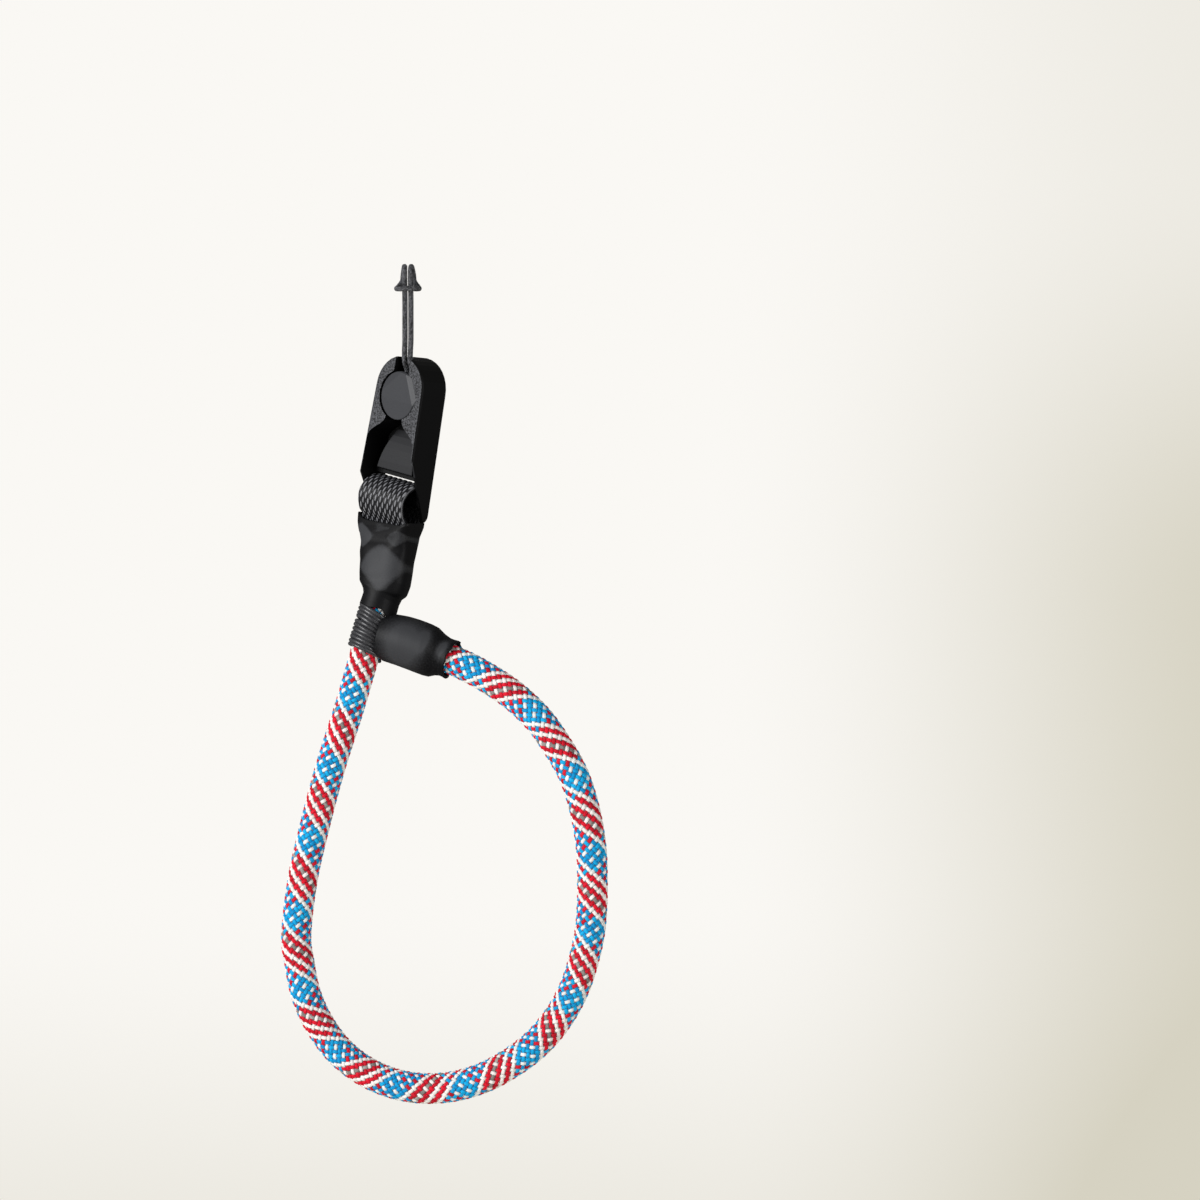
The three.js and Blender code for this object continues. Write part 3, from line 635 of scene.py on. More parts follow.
@dataclass
class Braid:
    """A braided sheath over a core: two hands of strands that cross over and under one another."""

    route: Route
    diameter: float
    strands: int
    phase: Callable[[np.ndarray], np.ndarray]
    place_of_phase: Callable[[np.ndarray], np.ndarray]
    drift: Callable[[np.ndarray], np.ndarray]
    left_yarns: tuple[int, ...]
    right_yarns: tuple[int, ...]
    sheath: float
    core_sides: int
    core_step: float
    shown: tuple[tuple[float, float], ...]
    float_share: float = 0.9
    float_spread: float = 1.16
    core_depth: float = 0.55
    frame: Callable[[Route, np.ndarray], tuple[np.ndarray, np.ndarray, np.ndarray]] = frames_along

    # Shape of one float: shares of its half length and half width, and the height there
    ALONG = np.array([-1.0, -0.66, 0.0, 0.66, 1.0])
    ALONG_HEIGHT = np.array([0.0, 0.72, 1.0, 0.72, 0.0])
    ALONG_WIDTH = np.array([0.5, 0.86, 1.0, 0.86, 0.5])
    ACROSS = np.array([-1.0, -0.52, 0.52, 1.0])
    ACROSS_HEIGHT = np.array([0.0, 0.93, 0.93, 0.0])
    # How far the yarn of one float is shifted against the next, so that no two look alike
    YARN_SHIFT = 1.7

    def surface(self, distance: np.ndarray, angle: np.ndarray, radius: np.ndarray | float) -> np.ndarray:
        """Finds places round the route.

        Args:
            distance: How far along the route each place is.
            angle: How far round it from the front, in radians.
            radius: How far from its middle.

        Returns:
            The places, in millimetres.
        """
        _, front, outer = self.frame(self.route, distance)
        way = np.cos(angle)[..., None] * front + np.sin(angle)[..., None] * outer
        return self.route.at(distance) + np.asarray(radius)[..., None] * way

    def crossings(self) -> tuple[np.ndarray, np.ndarray, np.ndarray, np.ndarray]:
        """Finds where the strands cross.

        Returns:
            Each shown crossing's distance, angle, hand (1 left, -1 right) and yarn number.
        """
        low = int(math.floor(float(self.phase(np.array(0.0))) * 2 * self.strands))
        high = int(math.ceil(float(self.phase(np.array(self.route.length))) * 2 * self.strands))
        rows = np.arange(low, high + 1)
        columns = np.arange(1 - self.strands, self.strands + 1)
        row, column = np.meshgrid(rows, columns, indexing="ij")
        real = (row - column) % 2 == 0
        row, column = row[real], column[real]
        place = self.place_of_phase(row / (2 * self.strands))
        seen = np.zeros(len(place), bool)
        for start, end in self.shown:
            seen |= (place > start) & (place < end)
        row, column, place = row[seen], column[seen], place[seen]
        left = (row + column) // 2 % self.strands
        right = (row - column) // 2 % self.strands
        hand = np.where(row % 2 == 0, 1, -1)
        yarn = np.where(hand == 1, np.array(self.left_yarns)[left], np.array(self.right_yarns)[right])
        return place, math.pi * column / self.strands, hand, yarn

    def add_to(self, sketch: MeshSketch, core_finish: int) -> None:
        """Adds the core and every shown float.

        Args:
            sketch: What they are added to.
            core_finish: The number of the core's finish.
        """
        rings = round(self.route.length / self.core_step)
        distance = np.linspace(0, self.route.length, rings)[:, None]
        angle = -np.linspace(0, 2 * math.pi, self.core_sides, endpoint=False)[None, :]
        core = self.diameter / 2 - self.core_depth * self.sheath
        distance, angle = np.broadcast_arrays(distance, angle)
        sketch.add_rings(self.surface(distance, angle, core), closed=False, finish=core_finish)

        place, turn, hand, yarn = self.crossings()
        lay = 1 / (self.phase(place + 0.5) - self.phase(place - 0.5))
        lean = np.arctan2(math.pi * (self.diameter - self.sheath), lay)
        cell = lay / (2 * self.strands) / np.cos(lean)
        half_length = self.float_share * cell
        half_width = 0.5 * lay / self.strands * np.sin(lean) * self.float_spread
        rows, columns = len(self.ALONG), len(self.ACROSS)
        share, width = np.meshgrid(np.arange(rows), np.arange(columns), indexing="ij")
        run = half_length[:, None, None] * self.ALONG[share]
        side = half_width[:, None, None] * self.ACROSS[width] * self.ALONG_WIDTH[share]
        height = self.ALONG_HEIGHT[share] * self.ACROSS_HEIGHT[width]
        cosine = np.cos(lean)[:, None, None]
        sine = (np.sin(lean) * hand)[:, None, None]
        radius = self.diameter / 2 - self.sheath * (1 - height)
        step = run * cosine + side * sine
        arc = -run * sine + side * cosine
        where = np.clip(place[:, None, None] + step, 0, self.route.length)
        angle = turn[:, None, None] + self.drift(place)[:, None, None] + arc / (self.diameter / 2)
        points = self.surface(where, angle, np.broadcast_to(radius, where.shape))
        on_yarn = np.stack([self.ACROSS[width] * 0.5 + 0.5, self.ALONG[share] * 0.5 + 0.5], axis=-1)
        shift = np.stack([np.zeros(len(place)), np.arange(len(place)) * self.YARN_SHIFT], axis=-1)
        cloth = np.broadcast_to(on_yarn, (*where.shape, 2)) + shift[:, None, None, :]
        own = np.random.default_rng(self.strands).random(len(place))[:, None, None]
        first = sketch.add_points(points, cloth, np.broadcast_to(own, where.shape))
        corner = np.arange(rows * columns).reshape(rows, columns)
        quads = [
            (corner[a, b], corner[a, b + 1], corner[a + 1, b + 1], corner[a + 1, b])
            for a in range(rows - 1)
            for b in range(columns - 1)
        ]
        rim = [*corner[:, 0], *corner[-1, 1:], *corner[-2::-1, -1], *corner[0, -2:0:-1]]
        pattern = [tuple(int(c) for c in face) for face in (*quads, rim)]
        for number, colour in enumerate(yarn):
            base = first + corner.size * number
            sketch.add_faces([tuple(base + c for c in face) for face in pattern], int(colour))


@dataclass
class RopeLoop:
    """Climbing rope of the strap, with its braided pattern of blue diamonds and red and white lines."""

    diameter: float = ROPE_DIAMETER
    strands: int = 12
    sheath: float = 1.05
    left_hand: str = "WRGRWRWBBBBB"
    right_hand: str = "RWRWRWRWBWBW"
    middle_of_blue: float = 9 / 12
    # Where the blue diamonds lie along the rope, and how far they creep to the outer side on the way
    diamonds: tuple[float, ...] = (
        37.6, 60.4, 82.9, 106.6, 129.1, 150.5, 171.5, 193.5,
        215.0, 235.8, 256.8, 278.8, 302.2, 325.7, 349.3,
    )
    creep: float = math.radians(22)
    # Where the sheath is drawn: at the gap over the whipping, and from inside the whipping to the end
    gap_shown: tuple[float, float] = (7.5, 12.5)
    shown_from: float = 22.5
    end_hidden: float = 1.5
    # Its real length, where it leaves the upper cuff and a step along its middle line
    real_length: float = 372.0
    exit_at: float = 9.9
    path_step: float = 3.0

    TABLE_MARGIN = 30
    TABLE_STEPS = 1600

    def phase(self, distance: np.ndarray) -> np.ndarray:
        """Counts the lays of the braid.

        Args:
            distance: How far along the rope to count.

        Returns:
            How many lays lie before each distance, evenly spread between two diamonds.
        """
        marks = np.array(self.diamonds)
        known = np.arange(len(marks)) + self.middle_of_blue
        first, last = marks[1] - marks[0], marks[-1] - marks[-2]
        inside = np.interp(distance, marks, known)
        before = np.minimum(distance - marks[0], 0) / first
        after = np.maximum(distance - marks[-1], 0) / last
        return inside + before + after

    def place_of_phase(self, phase: np.ndarray) -> np.ndarray:
        """Returns the distance at which the braid has that many lays before it."""
        table = np.linspace(-self.TABLE_MARGIN, ROPE.length + self.TABLE_MARGIN, self.TABLE_STEPS)
        return np.interp(phase, self.phase(table), table)

    def drift(self, distance: np.ndarray) -> np.ndarray:
        """Returns how far the pattern has crept round to the outer side."""
        return self.creep * np.clip((distance - self.diamonds[0]) / ROPE.length, 0, 1)

    def build(self) -> bpy.types.Object:
        """Builds the rope.

        Returns:
            The rope.
        """
        letters = {"W": Yarn.WHITE, "R": Yarn.RED, "G": Yarn.GREY, "B": Yarn.BLUE}
        sketch = MeshSketch()
        braid = Braid(
            route=ROPE,
            diameter=self.diameter,
            strands=self.strands,
            phase=self.phase,
            place_of_phase=self.place_of_phase,
            drift=self.drift,
            left_yarns=tuple(letters[letter].value for letter in self.left_hand),
            right_yarns=tuple(letters[letter].value for letter in self.right_hand),
            sheath=self.sheath,
            core_sides=24,
            core_step=2.6,
            shown=(self.gap_shown, (self.shown_from, ROPE.length - self.end_hidden)),
        )
        braid.add_to(sketch, core_finish=len(Yarn))
        finishes = [ROPE_YARNS[yarn] for yarn in Yarn] + [ROPE_CORE]
        piece = sketch.make("rope_sheath", finishes, "rope_loop")
        return piece


@dataclass
class AnchorCord:
    """Thin braided cord, hitched at the top and run down into the link beside its twin."""

    diameter: float = 1.75
    strand_spacing: float = 1.8
    hitch_bore: float = 2.7
    hitch_width: float = 8.0
    hitch_drop: float = 4.6
    tail: float = 10.0
    lane: float = -1.625
    spread: float = 1.35
    strands: int = 6
    lay: float = 5.2
    sheath: float = 0.3
    bare_end: float = 0.3
    path_step: float = 0.5

    # A direction that the cord never runs along, from which its braid is turned
    SIDEWAYS = np.array([0.55, 0.2, 0.05])

    def points(self) -> list[Vector]:
        """Lays out the cord, hitch and strands.

        Returns:
            The points that it passes through, from one end to the other.
        """
        reach = (self.hitch_bore + self.diameter) / 2
        half = self.strand_spacing / 2
        wide = (self.hitch_width - self.diameter) / 2
        front = -reach - self.diameter / 3
        drop = self.hitch_drop

        def strand(side: int) -> list[Vector]:
            """Lays out one strand.

            Args:
                side: -1 for the left strand and 1 for the right one.

            Returns:
                Its points, from its end in the link up to the hitch.
            """
            return [
                in_link(side * half * self.spread, self.lane, -self.tail),
                in_link(side * half * self.spread, self.lane, -self.tail / 2),
                in_link(side * half * self.spread, NOTCH_Y, -self.diameter / 2),
                Vector((side * half, 0, -HANG_LENGTH * 0.8)),
                Vector((side * half, 0, -HANG_LENGTH * 0.55)),
                Vector((side * half, 0, -drop * 1.75)),
                Vector((side * half, -reach * 0.4, -drop)),
                Vector((side * half, -reach, 0)),
                Vector((side * half * 1.15, 0, reach)),
                Vector((side * half * 1.7, reach, 0)),
                Vector((side * half * 2, reach, -drop * 0.45)),
                Vector((side * wide, reach * 0.6, -drop * 0.88)),
                Vector((side * wide * 1.04, -reach * 0.4, -drop * 0.98)),
                Vector((side * wide * 0.66, front * 0.95, -drop * 1.03)),
            ]

        return [*strand(-1), Vector((0, front * 1.04, -drop)), *reversed(strand(1))]

    def build(self) -> bpy.types.Object:
        """Builds the cord.

        Returns:
            The cord.
        """
        route = Route(self.points())

        def frame(line: Route, distance: np.ndarray) -> tuple[np.ndarray, np.ndarray, np.ndarray]:
            """Reads directions that turn with the line, since it also runs straight back.

            Args:
                line: The cord's route.
                distance: How far along it to read.

            Returns:
                The direction of the line and two ways across it.
            """
            along = line.along(distance)
            front = project_off(self.SIDEWAYS, along)
            return along, front, np.cross(along, front)

        sketch = MeshSketch()
        braid = Braid(
            route=route,
            diameter=self.diameter,
            strands=self.strands,
            phase=lambda distance: distance / self.lay,
            place_of_phase=lambda phase: phase * self.lay,
            drift=lambda distance: 0 * distance,
            left_yarns=(0,) * self.strands,
            right_yarns=(0,) * self.strands,
            sheath=self.sheath,
            core_sides=12,
            core_step=0.7,
            core_depth=0.5,
            float_spread=1.3,
            shown=((self.bare_end, route.length - self.bare_end),),
            frame=frame,
        )
        braid.add_to(sketch, core_finish=1)
        piece = sketch.make("anchor_braid", [CORD_YARN, CORD_CORE], "anchor_cord")
        return piece


@dataclass
class WebbingLoop:
    """Ribbed webbing that passes over the bar of the link and down into the upper cuff."""

    width: float = 19.3
    thickness: float = 1.8
    columns: int = 18
    float_length: float = 3.0
    float_slant: float = 0.25
    relief: float = 0.32
    crest: float = -38.45
    bar_middle: float = 1.8
    bulge: float = -5.0
    back_leg: float = 4.5
    rim_half: float = 2.7
    inside_half: float = 1.6
    tail: float = 3.0
    # Ribs: how the height falls between two floats and toward the edges, and what the mesh needs
    between_floats: float = 0.2
    rib_power: float = 0.9
    edge: tuple[float, float] = (0.035, 0.45)
    selvedge: tuple[float, float] = (0.478, 0.49)
    step: float = 0.22
    points_a_column: int = 8
    # Brightness of the selvedge, and the painted shade on the inner side, which lies in the dark
    selvedge_tone: float = 0.5
    inner_shade: float = 0.04

    def middle_line(self) -> Route:
        """Lays out the middle of the webbing.

        Returns:
            Its route in the link's y and z, up behind the bar and down in front of it.
        """
        rim_y, rim_z = RIM_IN_LINK[1:]

        def down(share: float) -> float:
            """Returns the height at a share of the way from the crest to the cuff's rim."""
            return self.crest + (rim_z - self.crest) * share

        def mix(a: float, b: float, share: float) -> float:
            """Returns the value at a share of the way from a to b."""
            return a + (b - a) * share

        rows = [
            (rim_y + self.inside_half, rim_z - self.tail),
            (rim_y + self.rim_half, rim_z),
            (mix(self.back_leg, rim_y + self.rim_half, 0.45), down(0.72)),
            (self.back_leg, down(0.42)),
            (self.back_leg, down(0.2)),
            (mix(self.bar_middle, self.back_leg, 0.7), down(0.05)),
            (self.bar_middle, self.crest),
            (mix(self.bar_middle, self.bulge, 0.5), down(0.06)),
            (mix(self.bar_middle, self.bulge, 0.85), down(0.23)),
            (self.bulge, down(0.46)),
            (mix(rim_y - self.rim_half, self.bulge, 0.72), down(0.77)),
            (rim_y - self.rim_half, rim_z),
            (rim_y - self.inside_half, rim_z - self.tail),
        ]
        return Route([Vector((0, y, z)) for y, z in rows])

    def build(self) -> bpy.types.Object:
        """Builds the webbing.

        Returns:
            The webbing.
        """
        route = self.middle_line()
        steps = round(route.length / self.step)
        distance = np.linspace(0, route.length, steps)
        across = np.linspace(-0.5, 0.5, self.columns * self.points_a_column + 1)
        column = np.minimum(np.floor((across + 0.5) * self.columns), self.columns - 1)
        in_column = (across + 0.5) * self.columns - column
        spot, reach = np.meshgrid(distance, across, indexing="ij")
        column, in_column = (np.broadcast_to(row, spot.shape) for row in (column, in_column))
        float_at = spot / self.float_length + 0.5 * (column % 2) + self.float_slant * in_column
        cell = np.abs(np.sin(math.pi * float_at))
        along_float = self.between_floats + (1 - self.between_floats) * cell
        crown = np.sin(math.pi * in_column) ** self.rib_power * along_float
        edge_width, edge_height = self.edge
        edge = edge_height + (1 - edge_height) * smooth_step(0.5 - np.abs(reach), 0.0, edge_width)
        selvedge = self.selvedge_tone * smooth_step(np.abs(reach), *self.selvedge)
        way = route.along(distance)
        normal = np.stack([np.zeros(steps), -way[:, 2], way[:, 1]], axis=-1)
        middle = route.at(distance)[:, None, :] + np.array([1.0, 0, 0]) * (reach * self.width)[..., None]
        height = (self.thickness / 2 - self.relief * (1 - crown)) * edge
        faces = [middle + side * normal[:, None, :] * height[..., None] for side in (1, -1)]
        rings = np.concatenate([faces[0], faces[1][:, ::-1]], axis=1)
        place = np.array(LINK.to_3x3())
        rings = rings @ place.T + np.array(LINK.translation)
        # Painted highlights on the crowns of the floats, painted shade between them and on the inner side
        bright = np.maximum(crown**2, selvedge)
        painted_light = np.concatenate([self.inner_shade * bright, bright[:, ::-1]], axis=1)
        sketch = MeshSketch()
        sketch.add_rings(rings, closed=False, crown=painted_light)
        piece = sketch.make("ribbed_webbing", [WEBBING_YARN], "webbing_loop")
        return piece


@dataclass
class UpperCuff:
    """Rubber sleeve shrunk over the webbing's flat end and the rope's round one."""

    width: float = 22.6
    thickness: float = 9.2
    end: float = 10.3
    rim_dip: float = math.radians(15)
    around: int = 140
    rings: int = 130
    # Columns: share of the length, how far it has closed on the rope, swell, share of the link's turn
    # and squareness
    sections: tuple[tuple[float, ...], ...] = (
        (0.0, 0.0, 1.0, 1.0, 7.0),
        (0.06, 0.03, 1.0, 1.0, 7.0),
        (0.18, 0.26, 0.98, 0.92, 4.6),
        (0.3, 0.4, 0.98, 0.8, 3.8),
        (0.46, 0.5, 0.98, 0.7, 2.9),
        (0.6, 0.57, 1.0, 0.6, 2.7),
        (0.7, 0.62, 1.01, 0.55, 2.6),
        (0.77, 0.74, 1.02, 0.5, 2.4),
        (0.82, 0.94, 1.01, 0.5, 2.1),
        (0.87, 1.0, 1.0, 0.5, 2.0),
        (0.94, 1.0, 1.01, 0.5, 2.0),
        (1.0, 1.0, 1.03, 0.5, 2.0),
    )
    # Dents: share of the length, degrees round from the front, their reach both ways, depth
    dents: tuple[tuple[float, ...], ...] = (
        (0.26, -48, 26, 0.07, 0.5),
        (0.26, 8, 22, 0.07, 0.6),
        (0.38, 38, 24, 0.07, 0.5),
        (0.7, -20, 40, 0.07, 0.5),
    )
    # Facets of painted light, diamonds between folds of painted shade: share of the length and of the
    # half width, their reach both ways, brightness
    facets: tuple[tuple[float, ...], ...] = (
        (0.19, -0.7, 0.16, 0.5, 0.7),
        (0.08, 0.1, 0.09, 0.4, 0.5),
        (0.23, 0.7, 0.13, 0.42, 0.5),
        (0.55, 0.1, 0.29, 1.05, 0.66),
        (0.88, -0.2, 0.08, 0.7, 0.35),
    )
    # How the hem at the rim sags in front and rises at the left, and how the neck's end hangs lower but
    # for a notch: degrees round from the front, reach, depth
    rim_hem: tuple[tuple[float, float, float], ...] = ((14, 34, 1.1), (-76, 30, -1.2))
    end_hem: tuple[tuple[float, float, float], ...] = ((0, 400, 0.9), (30, 24, -1.3))
    # How bright the painted shade in the folds is, how round the facets' corners are and how softly the
    # facets end
    fold_shade: float = 0.2
    facet_power: float = 1.3
    facet_edge: tuple[float, float] = (0.6, 1.25)
    # How fast the shape of the rim and that of the neck's end fade along the cuff
    rim_fade: int = 6
    end_fade: int = 12

    def relief(self, share: np.ndarray, bearing: np.ndarray) -> np.ndarray:
        """Finds the folds.

        Args:
            share: The share of the cuff's length.
            bearing: Degrees round it, -90 at the front.

        Returns:
            How deep the surface lies in its folds, in shares of the wall.
        """
        deep = np.zeros(share.shape)
        for along, around, reach, span, depth in self.dents:
            apart = degrees_apart(bearing + 90, around)
            deep += depth * bell(apart / reach, (share - along) / span)
        return deep

    def painted_light(self, share: np.ndarray, across: np.ndarray) -> np.ndarray:
        """Finds the painted light on the facets and the painted shade in the folds.

        Args:
            share: The share of the cuff's length.
            across: How far to the right of the middle, in shares of the half width.

        Returns:
            How brightly the surface is painted, from painted shade in its folds to painted light on its
            facets.
        """
        # Painted shade in the folds, painted light on the facets
        bright = np.full(share.shape, self.fold_shade)
        for along, beside, span, reach, peak in self.facets:
            off = (np.abs(across - beside) / reach) ** self.facet_power
            off += (np.abs(share - along) / span) ** self.facet_power
            bright = np.maximum(bright, peak * (1 - smooth_step(off, *self.facet_edge)))
        return bright

    @staticmethod
    def hem(bearing: np.ndarray, rows: Sequence[tuple[float, float, float]]) -> np.ndarray:
        """Shapes a hem.

        Args:
            bearing: Degrees round the cuff, -90 at the front.
            rows: Degrees round from the front, reach and depth of each of its waves.

        Returns:
            How far the hem hangs down at each bearing.
        """
        hang = np.zeros(bearing.shape)
        for around, reach, depth in rows:
            hang += depth * bell(degrees_apart(bearing + 90, around) / reach)
        return hang

    def wall(self, outer: bool) -> tuple[np.ndarray, np.ndarray]:
        """Shapes one side of the wall.

        Args:
            outer: Whether it is the outer side.

        Returns:
            Its rings, and the painted light and shade at each point.
        """
        curve = Route([RIM_MIDDLE, *(Vector(ROPE.at(self.end * half / 2)) for half in range(3))])
        share = np.linspace(0, 1, self.rings)[:, None]
        angle = np.linspace(0, 2 * math.pi, self.around, endpoint=False)[None, :]
        table = np.array(self.sections)
        neck, swell, turn, square = (
            np.interp(share, table[:, 0], table[:, column]) for column in range(1, 5)
        )
        inset = 0.0 if outer else CUFF_WALL
        half_width = (self.width / 2 + (NECK_RADIUS - self.width / 2) * neck) * swell - inset
        flat = self.thickness / 2
        closing = np.minimum(1, 2 * neck)
        half_thickness = (flat + (NECK_RADIUS - flat) * closing) * swell - inset
        distance = share[:, 0] * curve.length
        middle, down = curve.at(distance), curve.along(distance)
        facing = LINK_TURN * turn[:, 0]
        level = np.stack([np.cos(facing), np.sin(facing), 0 * facing], axis=-1)
        across = level - (level * down).sum(-1, keepdims=True) * down
        across /= np.linalg.norm(across, axis=-1, keepdims=True)
        back = np.cross(across, down)
        power = 2 / square
        right = np.sign(np.cos(angle)) * np.abs(np.cos(angle)) ** power * half_width
        behind = np.sign(np.sin(angle)) * np.abs(np.sin(angle)) ** power * half_thickness
        bearing = np.degrees(np.arctan2(np.sin(angle), np.cos(angle)))
        share_all, bearing_all = np.broadcast_arrays(share, bearing)
        deep = self.relief(share_all, bearing_all)
        keep = 1 - deep * CUFF_WALL / NECK_RADIUS
        points = rings_round(middle, across, back, right * keep, behind * keep)
        away = points - middle[:, None, :]
        at_rim = (1 - share) ** self.rim_fade
        fall = away[..., 0] * math.tan(WHIPPING_SLANT) * share**self.rim_fade
        fall -= away[..., 1] * math.tan(self.rim_dip) * at_rim
        fall += self.hem(bearing_all, self.rim_hem) * at_rim
        fall += self.hem(bearing_all, self.end_hem) * share**self.end_fade
        points = points + down[:, None, :] * fall[..., None]
        return points, self.painted_light(share_all, right / half_width)

    def build(self) -> bpy.types.Object:
        """Builds the cuff.

        Returns:
            The cuff, with an outer and an inner side.
        """
        # Painted light and shade of the outer side, also used for the inner one
        outer, outer_painted_light = self.wall(outer=True)
        inner, _ = self.wall(outer=False)
        rings = np.concatenate([outer, inner[::-1]])[:, ::-1]
        crown = np.concatenate([outer_painted_light, outer_painted_light[::-1]])[:, ::-1]
        sketch = MeshSketch()
        sketch.add_rings(rings, closed=True, crown=crown)
        return sketch.make("upper_cuff_rubber", [CUFF_RUBBER], "upper_cuff")


@dataclass
class Whipping:
    """Turns of waxed cord wound round the rope between the two cuffs."""

    cord: float = WHIPPING_CORD
    turns: int = WHIPPING_TURNS
    steps: int = 60
    sides: int = 10
    top_slant: float = math.radians(21)
    foot_slant: float = math.radians(11)
    # How far the turns wander along the rope and off it, how far the ends are tucked in and over what
    # share of a turn, and how close the turns lie
    wander: float = 0.4
    lift: float = 0.16
    tuck: float = 0.5
    tuck_turn: float = 0.12
    packing: float = 0.97
    # The cord's thickness as drawn, how far its two plies stand out and how many steps they twist over
    thick: float = 0.55
    ply_relief: float = 0.07
    ply_steps: int = 13

    def place(self) -> Matrix:
        """Places the winding.

        Returns:
            Its place: the middle of the winding, with z up along the rope.
        """
        top = Vector(ROPE.at(WHIPPING_START))
        foot = Vector(ROPE.at(WHIPPING_START + self.cord * self.turns))
        turn = Vector((0, 0, 1)).rotation_difference(top - foot)
        return Matrix.Translation((top + foot) / 2) @ turn.to_matrix().to_4x4()

    @staticmethod
    def waver(count: int, pace: float, row: tuple[float, float]) -> np.ndarray:
        """Returns a smooth wavering, step by step, read at a pace along one row of the noise."""
        return np.array([noise.noise(Vector((step * pace, *row))) for step in range(count)])

    def build(self) -> bpy.types.Object:
        """Builds the winding.

        Returns:
            The winding, one cord with two plies, not quite even.
        """
        count = self.turns * self.steps
        turn = np.linspace(0, self.turns, count)
        angle = 2 * math.pi * turn
        wander = self.waver(count, 0.045, (3.1, 0.7))
        lift = self.waver(count, 0.03, (9.4, 5.2))
        ends = smooth_step(np.minimum(turn, self.turns - turn), 0.0, self.tuck_turn)
        radius = WHIPPING_RADIUS - self.cord / 2 + self.lift * lift - self.tuck * (1 - ends)
        x, y = radius * np.cos(angle), radius * np.sin(angle)
        slant = np.interp(turn, (0, self.turns), (math.tan(self.foot_slant), math.tan(self.top_slant)))
        z = (turn - self.turns / 2) * self.cord * self.packing + self.wander * wander - slant * x
        line = np.stack([x, y, z], axis=-1)
        along = np.gradient(line, axis=0)
        along /= np.linalg.norm(along, axis=1, keepdims=True)
        out = line * np.array([1.0, 1.0, 0.0])
        out -= (out * along).sum(1, keepdims=True) * along
        out /= np.linalg.norm(out, axis=1, keepdims=True)
        side = np.cross(along, out)
        around = np.linspace(0, 2 * math.pi, self.sides, endpoint=False)[None, :]
        twist = (np.arange(count) * 2 * math.pi / self.ply_steps)[:, None]
        thick = self.cord * self.thick * (1.0 + self.ply_relief * np.cos(2 * (around - twist / 2)))
        rings = rings_round(line, out, side, thick * np.cos(around), thick * np.sin(around))
        place = self.place()
        rings = rings @ np.array(place.to_3x3()).T + np.array(place.translation)
        sketch = MeshSketch()
        sketch.add_rings(rings, closed=False)
        return sketch.make("waxed_whipping", [WAXED_CORD], "whipping")


